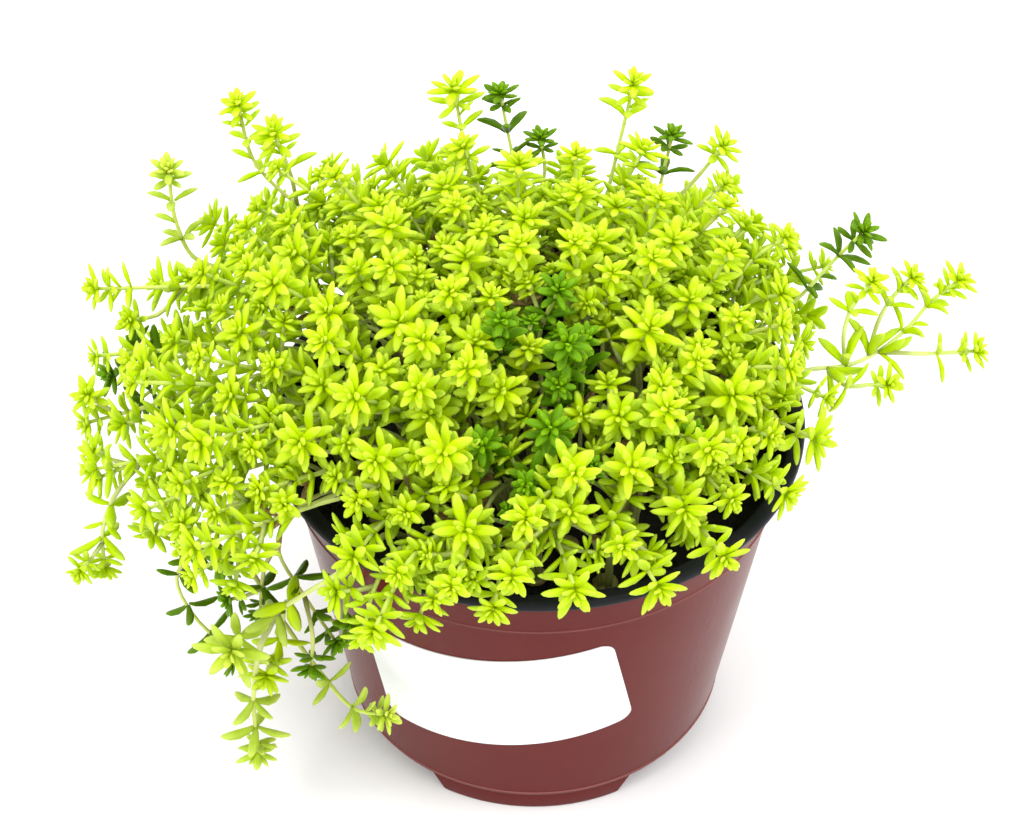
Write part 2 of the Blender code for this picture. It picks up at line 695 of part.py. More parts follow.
class ShootMesh:
    """Builds one closed mesh ring by ring along a stem."""

    def __init__(self, direction):
        self.points = []
        self.faces = []
        self.loop = None
        self.first = side_axes(direction)[0]

    def axes(self, direction):
        """Carry the side axes along the stem without twist."""
        first = self.first - direction * np.dot(self.first, direction)
        self.first = first / np.linalg.norm(first)
        return self.first, np.cross(direction, self.first)

    def ring(self, centre, direction, corners):
        """Add a loop; corners are rows of angle, radius and rise along the stem."""
        first, second = self.axes(direction)
        loop = []
        for angle, radius, rise in corners:
            side = first * math.cos(angle) + second * math.sin(angle)
            loop.append((angle, len(self.points)))
            self.points.append(centre + side * radius + direction * rise)
        if self.loop is None:
            self.faces.append(tuple(index for _, index in reversed(loop)))
        else:
            self.faces += stitch(self.loop, loop)
        self.loop = loop

    def stem(self, centre, direction):
        corners = [(math.tau * index / 3, STEM_RADIUS, 0.0) for index in range(3)]
        self.ring(centre, direction, corners)

    def star(self, centre, direction, radius, leaves, rise, phase):
        """A loop whose corners are leaf tips, placed as in star_points, and their notches."""
        first, second = self.axes(direction)
        untwisted = side_axes(direction)[0]
        phase += math.atan2(np.dot(untwisted, second), np.dot(untwisted, first))
        corners = []
        for index in range(2 * leaves):
            tip = index % 2 == 0
            reach = radius if tip else 0.4 * radius
            corners.append(((phase + math.pi * index / leaves) % math.tau, reach,
                            rise * radius if tip else 0.0))
        self.ring(centre, direction, sorted(corners))

    def close(self, tip):
        self.points.append(tip)
        last = len(self.points) - 1
        indices = [index for _, index in self.loop]
        for here, after in zip(indices, indices[1:] + indices[:1]):
            self.faces.append((here, after, last))


def shoot_mesh(shoot):
    """Solid of one shoot: a three-sided stem, its lower whorls and its head."""
    path = shoot.path
    length = path_length(path)
    stations = [(0.0, None)]
    along = 0.0
    for start, end in zip(path[:-2], path[1:-1]):
        along += float(np.linalg.norm(end - start))
        if all(abs(length - back - along) > 2.5 for back in (0.0, *shoot.whorls)):
            stations.append((along, None))
    stations += [(length - back, back) for back in shoot.whorls]
    _, direction = point_back(path, length)
    builder = ShootMesh(direction)
    for along, whorl in sorted(stations, key=lambda station: station[0]):
        centre, direction = point_back(path, length - along)
        if whorl is None:
            builder.stem(centre, direction)
        else:
            builder.stem(centre - direction * 1.1, direction)
            builder.star(centre, direction, WHORL_RADIUS, WHORL_LEAVES, WHORL_RISE, shoot.phase)
            builder.stem(centre + direction * 1.1, direction)
    centre, direction = point_back(path, 0.0)
    builder.stem(centre - direction * 0.28 * shoot.head, direction)
    builder.star(centre, direction, shoot.head, HEAD_LEAVES, HEAD_RISE, shoot.phase)
    builder.close(centre + direction * 0.5 * shoot.head)
    return mesh_from(builder.points, builder.faces)


def crown_mesh(x, y):
    """The rooted crown of a sprig: a flattened knob on the soil."""
    middle = soil_height(math.hypot(x, y)) + GAP + CROWN_HEIGHT
    points = [(x, y, middle - CROWN_HEIGHT), (x, y, middle + CROWN_HEIGHT)]
    for index in range(CROWN_SIDES):
        angle = math.tau * index / CROWN_SIDES
        points.append((x + CROWN_RADIUS * math.cos(angle), y + CROWN_RADIUS * math.sin(angle),
                       middle))
    faces = []
    for index in range(CROWN_SIDES):
        here, after = 2 + index, 2 + (index + 1) % CROWN_SIDES
        faces += [(0, after, here), (1, here, after)]
    return mesh_from(points, faces)


def make_sprigs(shoots):
    sprigs = {}
    for shoot in shoots:
        sprigs.setdefault(shoot.sprig, []).append(shoot)
    for name, members in sprigs.items():
        parts = [shoot_mesh(shoot) for shoot in reversed(members)]
        mesh = combine(crown_mesh(*members[0].crown), parts, 'UNION')
        new_object(name, mesh, LEAF_COLOURS[members[0].tint], 0.45)


def main():
    for thing in list(bpy.data.objects):
        bpy.data.objects.remove(thing)
    make_pot()
    make_label()
    make_soil()
    make_sprigs(lay_out_shoots())


if __name__ == "__main__":
    main()
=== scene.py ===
"""Looks of the potted sedum: leafy shoots, smooth pot, label and potting mix.

The shoots are laid out as for the solids, in the same millimetres, so each sprig's leaves
grow where its solid stands. The pot's axis is Z, the floor is z = 0, the label faces -Y.
"""

import json
import random
from itertools import product
from math import atan2, cos, dist, hypot, pi, radians, sin, sqrt, tan, tau

import bmesh
import bpy
import numpy as np
from mathutils import Matrix, Vector, noise
from numpy.linalg import norm


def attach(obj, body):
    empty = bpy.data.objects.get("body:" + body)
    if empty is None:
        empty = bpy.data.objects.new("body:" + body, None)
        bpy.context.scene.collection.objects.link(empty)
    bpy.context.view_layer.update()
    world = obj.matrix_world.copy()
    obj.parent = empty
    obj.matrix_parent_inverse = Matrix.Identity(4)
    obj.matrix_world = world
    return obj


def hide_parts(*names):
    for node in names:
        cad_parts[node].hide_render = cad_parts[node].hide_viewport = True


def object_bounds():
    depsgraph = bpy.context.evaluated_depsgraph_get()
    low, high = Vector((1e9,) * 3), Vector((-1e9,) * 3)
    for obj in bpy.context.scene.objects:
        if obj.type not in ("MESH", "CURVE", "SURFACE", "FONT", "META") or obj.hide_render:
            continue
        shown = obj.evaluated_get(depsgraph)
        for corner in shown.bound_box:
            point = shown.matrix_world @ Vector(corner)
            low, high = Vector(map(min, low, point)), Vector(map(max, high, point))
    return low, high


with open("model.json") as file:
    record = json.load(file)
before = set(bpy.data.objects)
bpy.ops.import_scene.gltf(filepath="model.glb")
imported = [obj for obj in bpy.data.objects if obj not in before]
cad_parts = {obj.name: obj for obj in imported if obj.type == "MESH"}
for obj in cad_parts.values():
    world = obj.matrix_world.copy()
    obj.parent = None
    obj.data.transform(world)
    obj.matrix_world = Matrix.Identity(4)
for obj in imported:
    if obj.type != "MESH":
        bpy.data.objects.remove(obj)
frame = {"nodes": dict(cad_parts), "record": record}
CAD_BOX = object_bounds()

MM = 0.001
GAP = 0.3  # kept between neighbouring pieces
NEAR = 8.0  # shoots further apart than this can't touch

# Pot
POT_HEIGHT = 82.6
RIM_RADIUS = 57.15  # 4.5 inch pot
RIM_DEPTH = 2.2  # height of the rolled rim
COLLAR_Z = 69.5  # step between the wall and the collar under the rim
COLLAR_RADIUS = 52.2
COLLAR_STEP = 0.6
RIM_OVERHANG = 2.2  # of the rim past the collar
BASE_Z = 5.0  # underside of the base
BASE_RADIUS = 42.6
WALL = 1.0
TAPER = atan2(COLLAR_RADIUS - BASE_RADIUS, COLLAR_Z - BASE_Z)

FOOT_COUNT = 3
FOOT_RADIUS = 41.8
FOOT_WIDTH = 8.0
FOOT_STEPS = 24
FOOT_HALF_ANGLES = (radians(27), radians(33))  # at the floor and at the base
DRAIN_COUNT = 6
DRAIN_RADIUS = 3.5
DRAIN_CIRCLE = 26.0

# Label
LABEL_WIDTH = 57.15
LABEL_HEIGHT = 31.75
LABEL_CORNER = 3.2
LABEL_Z = 41.9  # height of its centre
LABEL_AZIMUTH = radians(-100.3)
LABEL_TILT = radians(9)

# Soil
SOIL_CENTRE_Z = 71.0
SOIL_EDGE_Z = 69.0

# Mound of shoots: its reach from the pot's axis, every 30 degrees from +X
MOUND_REACH = (54, 64, 64, 60, 70, 84, 89, 84, 72, 60, 57, 55)
MOUND_EDGE_Z = 86.0
MOUND_HEIGHT = 36.0
EDGE_LEAN = radians(68)  # of its heads, at the edge
MOUND_ROUGHNESS = (-4.5, 3.5)  # of the heads, in or out of its surface
TALL_SHARE = 0.1  # of the heads, which stand out further
TALL_RISE = (4.0, 8.0)
LIGHT_LEAN = (0.0, -0.35)  # all heads lean to the front, towards the light
HEAD_TURN = 0.17  # scatter of the heads' directions
MOUND_SEED = 7
CROWN_COUNT = 46
CROWN_CIRCLE = 43.0
CROWN_RADIUS = 3.0
CROWN_HEIGHT = 1.5
CROWN_BROWN = 0.6
CROWN_SHOOTS = 7  # at most, on one crown of the mound
HEAD_SPACING = 9.0
HEAD_TRIES = 9000
HEAD_SIZES = (4.0, 6.2)  # radii of the leaf stars
STEM_RADIUS = 0.75
STEM_STRAIGHTNESS = (0.36, 0.24, 0.5)
RIM_CLIMB = 35.0  # first rise of a stem that passes over the rim
HEAD_LEAVES = 6
HEAD_RISE = 0.16  # of a star's tips above its centre, over its radius
WHORL_LEAVES = 4
WHORL_RADIUS = 5.6
WHORL_RISE = 0.3
WHORL_FIRST = 8.0  # from the head down to the first lower whorl
WHORL_STEP = 8.5
# Small spheres along each leaf of a star: share of its length, and radius
LEAF_SPHERES = ((0.5, 1.1), (0.68, 0.9), (0.84, 0.6), (1.0, 0.3))

# Large heads on the mound: x, y, radius
MOUND_HEADS = (
    (22, -15, 7.6), (-27, -16, 7.2), (39, -22, 7.2), (3, -39, 6.6), (29, -45, 7.2),
    (-13, -56, 7.2), (-72, -28, 7.6), (-45, -40, 6.8), (12, 8, 6.6), (-50, 10, 7.0),
)
# Places of the mound that stay open: x, y, radius
MOUND_GAPS = (
    (42, 0, 6.5), (44, 12, 6.0), (46, 22, 6.0), (-45, -55, 9.0), (-57, -53, 8.0),
    (-50, -63, 10.0), (-88, -6, 5.0), (-93, 5, 5.0), (-85, -25, 4.0), (-91, 18, 4.0),
)
# Heads that lean over the rim: x, y, z, radius
RIM_HEADS = (
    (-22, -59, 81.5, 6.0), (-7.5, -60.5, 86, 5.6), (8, -60, 91, 7.0),
    (24, -56, 88, 7.0), (37, -49, 89, 6.0), (57, -16, 90, 7.4), (50, -34, 92, 5.6),
)

# Sprigs outside the mound. A shoot is its colour, the radius of its head, the number of
# whorls below it, and its way points; the first one is rooted and the others branch from it.
OUTER_SPRIGS = {
    "side_branch_right": (
        ("gold", 5.0, 2, ((40, 4), (51, 6, 87), (60, 8, 88), (66, 9, 88), (73, 12, 89.5), (79, 14.5, 94),
         (84, 17, 100), (89, 18.5, 104))),
        ("gold", 4.5, 2, ((66, 9, 88), (65, 10.5, 95), (66, 12, 101), (70, 14, 107))),
        ("gold", 4.5, 2, ((71, 11.3, 89), (72.5, 14, 96), (75, 16, 101), (79, 18, 105))),
        ("gold", 4.8, 1, ((73, 12, 89.5), (82, 11, 90), (93.5, 11, 91))),
        ("gold", 4.8, 1, ((62, 8.3, 88), (66, 4, 86.5), (70, 3, 88), (74, 2, 89))),
    ),
    "green_sprig_right": (
        ("green", 5.5, 2, ((35, 16), (46, 19, 87), (57, 24, 95), (64, 27, 103), (69, 28, 109))),
    ),
    "trailing_stem_left": (
        ("pale", 8.5, 0, ((-25, -29), (-31, -43, 86), (-37, -50, 85), (-46, -49, 76), (-54, -45, 65),
         (-59, -44, 60), (-61, -50, 60.5))),
        ("pale", 5.0, 2, ((-52, -46, 67.8), (-57, -43, 52), (-59, -44, 38), (-59, -45, 22))),
        ("gold", 6.0, 1, ((-49, -47.5, 71.9), (-52, -36, 58), (-54, -36, 46), (-56, -42, 44))),
    ),
    "rim_sprig_front_left": (
        ("gold", 5.8, 1, ((-18, -36), (-22, -45, 88), (-27, -51, 91), (-31, -58, 87), (-33, -61, 78))),
    ),
    "trailing_green_runner": (
        ("green", 4.0, 4, ((-37, -17), (-49, -23, 87), (-62, -27, 80), (-70, -29, 69), (-75, -30, 60),
         (-72, -32, 51), (-67, -34, 45), (-64, -35, 40))),
    ),
    "trailing_green_bunch": (
        ("green", 5.0, 2, ((-32, -22), (-38, -28, 86), (-48, -36, 87), (-52, -37, 78), (-47, -40, 66),
         (-41, -43, 56))),
        ("green", 4.2, 1, ((-52, -37, 78), (-56, -33, 66), (-57.5, -33.5, 54))),
        ("green", 4.6, 0, ((-47, -40, 66), (-45, -47, 61), (-45.5, -49, 54.5))),
    ),
    "trailing_pale_shoots": (
        ("pale", 4.4, 2, ((-40, -9), (-46, -16, 88), (-58, -20, 86), (-62, -24, 70), (-54, -28, 46),
         (-45, -36, 37), (-37, -44, 35), (-31, -46, 36))),
        ("green", 6.0, 0, ((-60, -22, 78), (-62, -28, 73), (-64, -33, 68))),
    ),
    "left_spray_low": (
        ("gold", 5.0, 2, ((-40, -1), (-52, -9, 88), (-68, -13, 86), (-82, -15, 80), (-91, -16, 76))),
        ("gold", 4.2, 2, ((-82, -15, 80), (-88, -20, 74), (-91, -22, 66), (-91.5, -23, 56))),
        ("gold", 6.0, 1, ((-68, -13, 86), (-76, -19, 75), (-80, -22, 66))),
    ),
    "left_spray_high": (
        ("gold", 4.6, 1, ((-40, 7), (-52, 3, 89), (-70, -3, 89), (-84, -6, 86), (-94, -8, 84))),
        ("gold", 5.0, 0, ((-70, -3, 89), (-79, -4.5, 94), (-84, -4, 97))),
    ),
    "green_sprig_left": (
        ("green", 5.5, 1, ((-38, 15), (-51, 13, 89), (-70, 9, 90), (-82, 6, 88), (-90, 4, 87))),
        ("green", 5.0, 0, ((-70, 9, 90), (-78, 3.5, 87), (-84, 1, 83))),
    ),
    "reaching_sprig_left": (
        ("gold", 5.4, 3, ((-34, 23), (-47, 23, 92), (-64, 18, 100), (-79, 15, 102), (-93, 13, 103))),
        ("gold", 4.2, 0, ((-75.5, 15.7, 101.5), (-81, 13, 96), (-86, 10, 97))),
    ),
    "pale_sprig_back_left": (
        ("pale", 4.6, 2, ((-30, 30), (-46, 33, 90), (-66, 34, 91), (-76, 35, 94), (-79, 36, 102),
         (-80, 38, 115))),
    ),
    "tall_sprigs_back_left": (
        ("gold", 4.6, 2, ((-23, 35), (-38, 43, 92), (-54, 48, 99), (-63, 51, 108), (-66, 53, 122))),
        ("gold", 5.8, 1, ((-54, 48, 99), (-55, 47, 109), (-58, 48, 118))),
    ),
    "tall_sprig_back": (
        ("gold", 6.4, 1, ((-12, 40), (-15, 50, 100), (-19, 58, 123))),
    ),
    "green_sprig_back": (
        ("green", 4.6, 2, ((-2, 41), (-5, 54, 100), (-9, 61, 120))),
        ("green", 4.2, 0, ((-4, 50, 92), (1, 55, 104), (0, 57, 111))),
    ),
    "tall_sprigs_back_right": (
        ("gold", 5.4, 2, ((9, 41), (15, 52, 100), (20, 57, 126))),
    ),
    "green_sprig_back_right": (
        ("green", 5.0, 1, ((19, 37), (25, 50, 94), (29, 57, 112))),
        ("gold", 5.2, 0, ((25, 50, 94), (34, 53, 103), (40, 54, 112))),
    ),
}

# Stage, light and camera, in metres and watts
FLOOR_SIZE = 3.0
WORLD_STRENGTH = 0.98
LIGHTS = (
    ("key_light", (-0.45, -0.35, 0.95), 0.5, 6.0),
    ("fill_light", (0.6, -0.3, 0.7), 0.7, 4.0),
    ("back_light", (0.1, 0.7, 0.8), 0.7, 3.0),
)
LIGHT_AIM = Vector((0, 0, 0.08))
CAMERA_TARGET = (0.0017, 0.0, 0.0828)
CAMERA_DISTANCE = 0.5245
CAMERA_ELEVATION = 42.6
CAMERA_ROLL = 0.86
CAMERA_LENS = 86.7
CAMERA_SHIFT = (-0.0317, -0.0121)


# ---- places of the shoots

def mound_reach(azimuth):
    """Reach of the mound in a direction, smooth between the given ones."""
    steps = len(MOUND_REACH)
    place = (azimuth / tau * steps) % steps
    index = int(place)
    blend = (1 - cos((place - index) * pi)) / 2
    return MOUND_REACH[index] * (1 - blend) + MOUND_REACH[(index + 1) % steps] * blend


def polar(radius, angle):
    """x and y of a point round the axis."""
    return radius * cos(angle), radius * sin(angle)


def mound_point(azimuth, rise):
    """Point of the mound: rise is 0 at its edge and 1 at its top."""
    radius = mound_reach(azimuth) * sqrt(1 - rise * rise)
    return np.array((*polar(radius, azimuth), MOUND_EDGE_Z + MOUND_HEIGHT * rise))


def reach_share(point):
    """Distance from the axis over the mound's reach there, at most 1."""
    reach = mound_reach(atan2(point[1], point[0]))
    return min(1.0, hypot(point[0], point[1]) / reach)


def mound_normal(point):
    """Direction out of the mound, and rather up."""
    lean = EDGE_LEAN * reach_share(point) ** 1.6
    return np.array((*polar(sin(lean), atan2(point[1], point[0])), cos(lean)))


def facing(point, draw):
    """Direction of a head: out of the mound and towards the light."""
    light = [lean + draw.gauss(0, HEAD_TURN) for lean in LIGHT_LEAN]
    return unit(mound_normal(point) + (*light, 0.0))


def wall_radius(z):
    """Outer radius of the pot at one or more heights."""
    wall = BASE_RADIUS + np.maximum(0.0, z - BASE_Z) * tan(TAPER)
    wall = wall + COLLAR_STEP * (z > COLLAR_Z)
    return np.where(z > POT_HEIGHT - RIM_DEPTH, RIM_RADIUS, wall)


def soil_height(radius):
    """Height of the soil at a distance from the pot's axis."""
    return SOIL_CENTRE_Z + (SOIL_EDGE_Z - SOIL_CENTRE_Z) * (radius / CROWN_CIRCLE) ** 2


def crown_places():
    """The mound's crowns, on a sunflower spiral, clear of the outer sprigs' own."""
    taken = [np.array(shoots[0][3][0]) for shoots in OUTER_SPRIGS.values()]
    places = []
    for index in range(CROWN_COUNT):
        radius = CROWN_CIRCLE * sqrt((index + 0.5) / CROWN_COUNT)
        place = np.array(polar(radius, index * pi * (3 - sqrt(5))))
        if all(norm(place - other) > 2 * CROWN_RADIUS + 0.5 for other in taken):
            places.append(place)
    return places


def mound_heads(draw):
    """Places and radii of the mound's heads: given ones, then others between."""
    heads = []
    for x, y, radius in MOUND_HEADS:
        share = reach_share((x, y))
        heads.append((mound_point(atan2(y, x), sqrt(1 - share * share)), radius))
    heads += [(np.array((x, y, z)), radius) for x, y, z, radius in RIM_HEADS]
    outer = [np.array(shoot[3][-1]) for shoots in OUTER_SPRIGS.values() for shoot in shoots]
    smallest, largest = HEAD_SIZES
    for _ in range(HEAD_TRIES):
        azimuth = draw.uniform(0, tau)
        rise = draw.uniform(-0.12, 1)
        place = mound_point(azimuth, rise)
        stands_out = TALL_RISE if draw.random() < TALL_SHARE else MOUND_ROUGHNESS
        place = place + mound_normal(place) * draw.uniform(*stands_out)
        spacing = HEAD_SPACING * draw.uniform(0.88, 1.15)
        near = [norm(place - other) - radius for other, radius in heads]
        near += [norm(place - other) - 4 for other in outer]
        in_gap = any(dist(place[:2], gap[:2]) < gap[2] for gap in MOUND_GAPS)
        if min(near) > spacing / 2 and not in_gap:
            heads.append((place, min(largest, max(smallest, min(near) - 0.6))))
    return heads


def bezier(a, b, c, d, steps):
    """Points on a cubic curve from a to d."""
    points = []
    for t in (index / steps for index in range(steps + 1)):
        s = 1 - t
        points.append(a * s ** 3 + b * 3 * s * s * t + c * 3 * s * t * t + d * t ** 3)
    return np.array(points)


def mound_stem(crown, place, heading, straightness):
    """Way points of a stem from its crown to a head."""
    outward = place[:2] - crown[:2]
    distance = norm(outward)
    side = outward / distance if distance > 1e-6 else np.zeros(2)
    start = np.array((*(crown[:2] + side * min(1.6, distance / 3)), crown[2]))
    over_rim = norm(place[:2]) > RIM_RADIUS - 8
    climb = max(0.5 * (place[2] - start[2]), RIM_CLIMB if over_rim else 12)
    first = start + np.array((*(outward * (0.05 if over_rim else 0.2)), climb))
    second = place - heading * straightness * norm(place - start)
    if over_rim:
        second[2] = max(second[2], POT_HEIGHT + 4)
    return bezier(start, first, second, place, 4 if over_rim else 3)


def whorl_distances(length, count):
    """Distances of the lower whorls from the head, as the stem has room."""
    distances = [WHORL_FIRST + WHORL_STEP * index for index in range(count)]
    return [distance for distance in distances if distance < length - 4]


def point_back(path, distance):
    """Point and direction on a stem, at a distance from its end."""
    for end, start in zip(path[:0:-1], path[-2::-1]):
        step = end - start
        length = norm(step)
        if distance <= length:
            return end - step * (distance / length), step / length
        distance -= length
    return path[0], unit(path[1] - path[0])


def path_length(path):
    return float(norm(np.diff(path, axis=0), axis=1).sum())


def unit(vector):
    return vector / norm(vector)


def side_axes(direction):
    """Two axes square to a direction."""
    helper = np.array((0.0, 0.0, 1.0)) if abs(direction[2]) < 0.9 else np.array((1.0, 0, 0))
    first = unit(np.cross(helper, direction))
    return first, np.cross(direction, first)


def ring(first, second, count, phase=0.0):
    """Directions evenly round, in the plane of two axes."""
    angles = [phase + tau * index / count for index in range(count)]
    return [first * cos(angle) + second * sin(angle) for angle in angles]


class Shoot:
    """One stem with its head and its lower whorls."""

    def __init__(self, sprig, crown, tint, path, head, whorls, phase=0.0):
        self.sprig, self.crown, self.tint = sprig, crown, tint
        self.path, self.head, self.phase = path, head, phase
        self.whorls = whorl_distances(path_length(path), whorls)

    def stem_spheres(self):
        """Small spheres along the stem: rows of x, y, z and radius."""
        rows = []
        for start, end in zip(self.path[:-1], self.path[1:]):
            count = max(1, int(norm(end - start) / 1.2))
            rows += [(*(start + (end - start) * index / count), STEM_RADIUS) for index in range(count)]
        return np.array(rows)

    def star_spheres(self):
        """Small spheres that fill the head and the lower whorls."""
        rows = []
        stars = [(0.0, self.head, HEAD_LEAVES, HEAD_RISE)]
        stars += [(distance, WHORL_RADIUS, WHORL_LEAVES, WHORL_RISE) for distance in self.whorls]
        for back, radius, leaves, rise in stars:
            centre, direction = point_back(self.path, back)
            rows.append((*(centre + direction * 0.1 * radius), 0.4 * radius))
            tips = [side + direction * rise for side in ring(*side_axes(direction), leaves, self.phase)]
            for share, thick in LEAF_SPHERES:
                rows += [(*(centre + tip * radius * share), thick) for tip in tips]
        return np.array(rows)


def clears_pot(spheres):
    """Whether spheres clear the floor and the pot's wall and rim."""
    distance = np.hypot(spheres[:, 0], spheres[:, 1])
    room = spheres[:, 3] + GAP
    low = spheres[:, 2] - room
    beside = low < POT_HEIGHT
    outside = distance - room > wall_radius(np.minimum(spheres[:, 2] + room, POT_HEIGHT))
    inside = distance + room < wall_radius(low) - WALL - RIM_OVERHANG
    return bool(low.min() > 0 and np.all(~beside | outside | inside))


def clears_others(spheres, others):
    """Whether spheres stay a gap away from other sprigs' spheres."""
    low, high = spheres[:, :3].min(axis=0) - NEAR, spheres[:, :3].max(axis=0) + NEAR
    others = others[np.all((others[:, :3] > low) & (others[:, :3] < high), axis=1)]
    if not len(others):
        return True
    away = spheres[:, None, :3] - others[None, :, :3]
    gaps = np.sqrt((away ** 2).sum(axis=2)) - spheres[:, None, 3] - others[None, :, 3]
    return gaps.min() > GAP


def settle(shoot, filled):
    """Turn or shrink a head until it clears what other sprigs filled; False if it can't."""
    none = np.zeros((0, 4))
    others = [rows for name, rows in filled.items() if name != shoot.sprig]
    others = np.concatenate((none, *others))
    stem = shoot.stem_spheres()
    if not (clears_pot(stem) and clears_others(stem, others)):
        return False
    full_head = shoot.head
    for size, turn in product((1.0, 0.9, 0.8, 0.7), range(4)):
        shoot.head = full_head * size
        shoot.phase = radians(15) * turn
        stars = shoot.star_spheres()
        if clears_pot(stars) and clears_others(stars, others):
            filled[shoot.sprig] = np.concatenate((filled.get(shoot.sprig, none), stem, stars))
            return True
    return False


def crown_point(x, y):
    """Middle of a crown that stands on the soil."""
    return np.array((x, y, soil_height(hypot(x, y)) + GAP + CROWN_HEIGHT))


def outer_shoots(filled):
    """The shoots of the sprigs outside the mound."""
    shoots = []
    for name, rows in OUTER_SPRIGS.items():
        x, y = rows[0][3][0]
        for tint, head, whorls, points in rows:
            root = crown_point(x, y) if len(points[0]) == 2 else points[0]
            path = np.array([root, *points[1:]], float)
            shoot = Shoot(name, (x, y), tint, path, head, whorls)
            if settle(shoot, filled):
                shoots.append(shoot)
    return shoots


def mound_shoot(place, radius, heading, crowns, used, filled):
    """A shoot from one of the nearest crowns to a head, clear of all others."""
    below = place[:2] * CROWN_CIRCLE / mound_reach(atan2(place[1], place[0]))
    nearest = sorted(range(len(crowns)), key=lambda index: dist(crowns[index], below))
    for index in [index for index in nearest if used.count(index) < CROWN_SHOOTS][:4]:
        for straightness in STEM_STRAIGHTNESS:
            stem = mound_stem(crown_point(*crowns[index]), place, heading, straightness)
            shoot = Shoot(f"mound_{index}", crowns[index], "gold", stem, radius, 0)
            if settle(shoot, filled):
                used.append(index)
                return shoot
    return None


def lay_out_shoots():
    """All shoots of the plant, clear of the pot and of other sprigs."""
    filled = {}
    shoots = outer_shoots(filled)
    crowns = crown_places()
    used = []
    draw = random.Random(MOUND_SEED)
    mound = [mound_shoot(place, radius, facing(place, draw), crowns, used, filled)
             for place, radius in mound_heads(draw)]
    mound = [shoot for shoot in mound if shoot]
    names = sorted({shoot.sprig for shoot in mound}, key=lambda name: int(name[6:]))
    for shoot in mound:
        shoot.sprig = f"golden_sprig_{names.index(shoot.sprig) + 1:02d}"
    return shoots + mound


# ---- small shoots of the mound

SIDE_BACK = (7.0, 11.0, 15.0)  # where side shoots may leave a stem, below its head
SIDE_LENGTH = 8.0
SIDE_TILT = radians(52)
SIDE_HEADS = (3.4, 5.4)  # radii
BUSHY = ("golden", "green_sprig_left", "trailing_green_bunch", "left_spray", "rim_sprig")

# Where shoots of the mound are dark green or partly withered: x, y, radius
GREEN_PLACES = ((2, -20, 13), (6, -37, 10), (-6, -47, 8), (34, -30, 7))
LIME_SHARE = 0.6  # of the shoots in those places
LIME_SIZE = 0.8
LEAFY_FORKS = ("side_branch_right", "trailing_stem_left", "green_sprig_left")
FORK_LEAF = 9.0  # length of the leaves there
SHORT = 12.0  # shorter shoots are side shoots, in the shade
DRY_PLACES = ((-54, -10, 5), (24, 14, 4), (-38, -32, 5))
DRY_SHARE = 0.25  # of the whorls in those places


def near_place(point, places):
    return any(hypot(point[0] - x, point[1] - y) < radius for x, y, radius in places)


def under_surface(point):
    """Whether a point lies inside the mound."""
    share = reach_share(point)
    return share < 1 and point[2] < MOUND_EDGE_Z + MOUND_HEIGHT * sqrt(1 - share ** 2) - 1


def side_shoot(parent, heads):
    """A short side shoot where a stem has most room, or None."""
    loose = not parent.sprig.startswith("golden")
    for back in SIDE_BACK:
        if back > path_length(parent.path) - 12:
            return None
        base, direction = point_back(parent.path, back)
        best = (SIDE_HEADS[0], None, None)
        for side in ring(*side_axes(direction), 8, back):
            heading = side * sin(SIDE_TILT) + direction * cos(SIDE_TILT)
            end = base + heading * SIDE_LENGTH + np.array((0, 0, 1.2))
            room = min(norm(end - place) - 0.72 * size for place, size in heads)
            if (loose or under_surface(end)) and room > best[0]:
                best = (room, end, heading)
        room, end, heading = best
        if end is None:
            continue
        path = np.array((base, base + heading * 0.5 * SIDE_LENGTH, end))
        head = min(SIDE_HEADS[1], room)
        shoot = Shoot(parent.sprig, parent.crown, parent.tint, path, head, 0, back)
        if clears_pot(shoot.star_spheres()):
            return shoot
    return None


def side_shoots(shoots):
    """Short side shoots in the gaps between the heads."""
    heads = [(shoot.path[-1], shoot.head) for shoot in shoots]
    extra = []
    for parent in [shoot for shoot in shoots if shoot.sprig.startswith(BUSHY)]:
        shoot = side_shoot(parent, heads)
        if shoot:
            heads.append((shoot.path[-1], shoot.head))
            extra.append(shoot)
    return extra


# ---- leaves and stems

LEAF_SHARES = (0.0, 0.2, 0.48, 0.74, 0.92)  # of a leaf's length
LEAF_OUTLINE = (0.42, 0.72, 1.0, 0.87, 0.48)  # half widths there, over the widest
LEAF_SIDES = 6
LEAF_TOP = 0.42  # thickness over the half width
LEAF_BELOW = 0.66
LEAF_WIDTH = 0.175  # half width over length, of a usual leaf
LOWER_LEAF = 6.2

# Tiers of a head: leaves, length and place over the head's radius, rise at a leaf's base and
# tip (degrees), turn (share of the step between leaves), age
HEAD_TIERS = (
    (6, 1.00, 0.00, 28, 2, 0.0, 0.34),
    (4, 0.66, 0.13, 50, 26, 0.4, 0.16),
    (3, 0.40, 0.24, 72, 52, 0.2, 0.0),
    (5, 0.98, -0.5, 18, -6, 0.5, 0.62),
)
HEAD_SWAY = 0.1
LOOSE_LEAN = np.array((0.0, -0.3, 0.25))  # of heads outside the mound, to the light
MOUND_WHORLS = (8.0, 12.0, 16.5, 21.0)
STEM_SIDES = 6
STEM_STEP = 2.2
STEM_RADII = {"gold": (0.55, 0.42), "pale": (0.85, 0.38), "green": (0.52, 0.38)}
GOLD, PALE, GREEN, LIME, STEM, DRY = range(6)
KINDS = {"gold": GOLD, "pale": PALE, "green": GREEN}
BOX_ROOM = 2.0  # for leaves, past the box of the solids


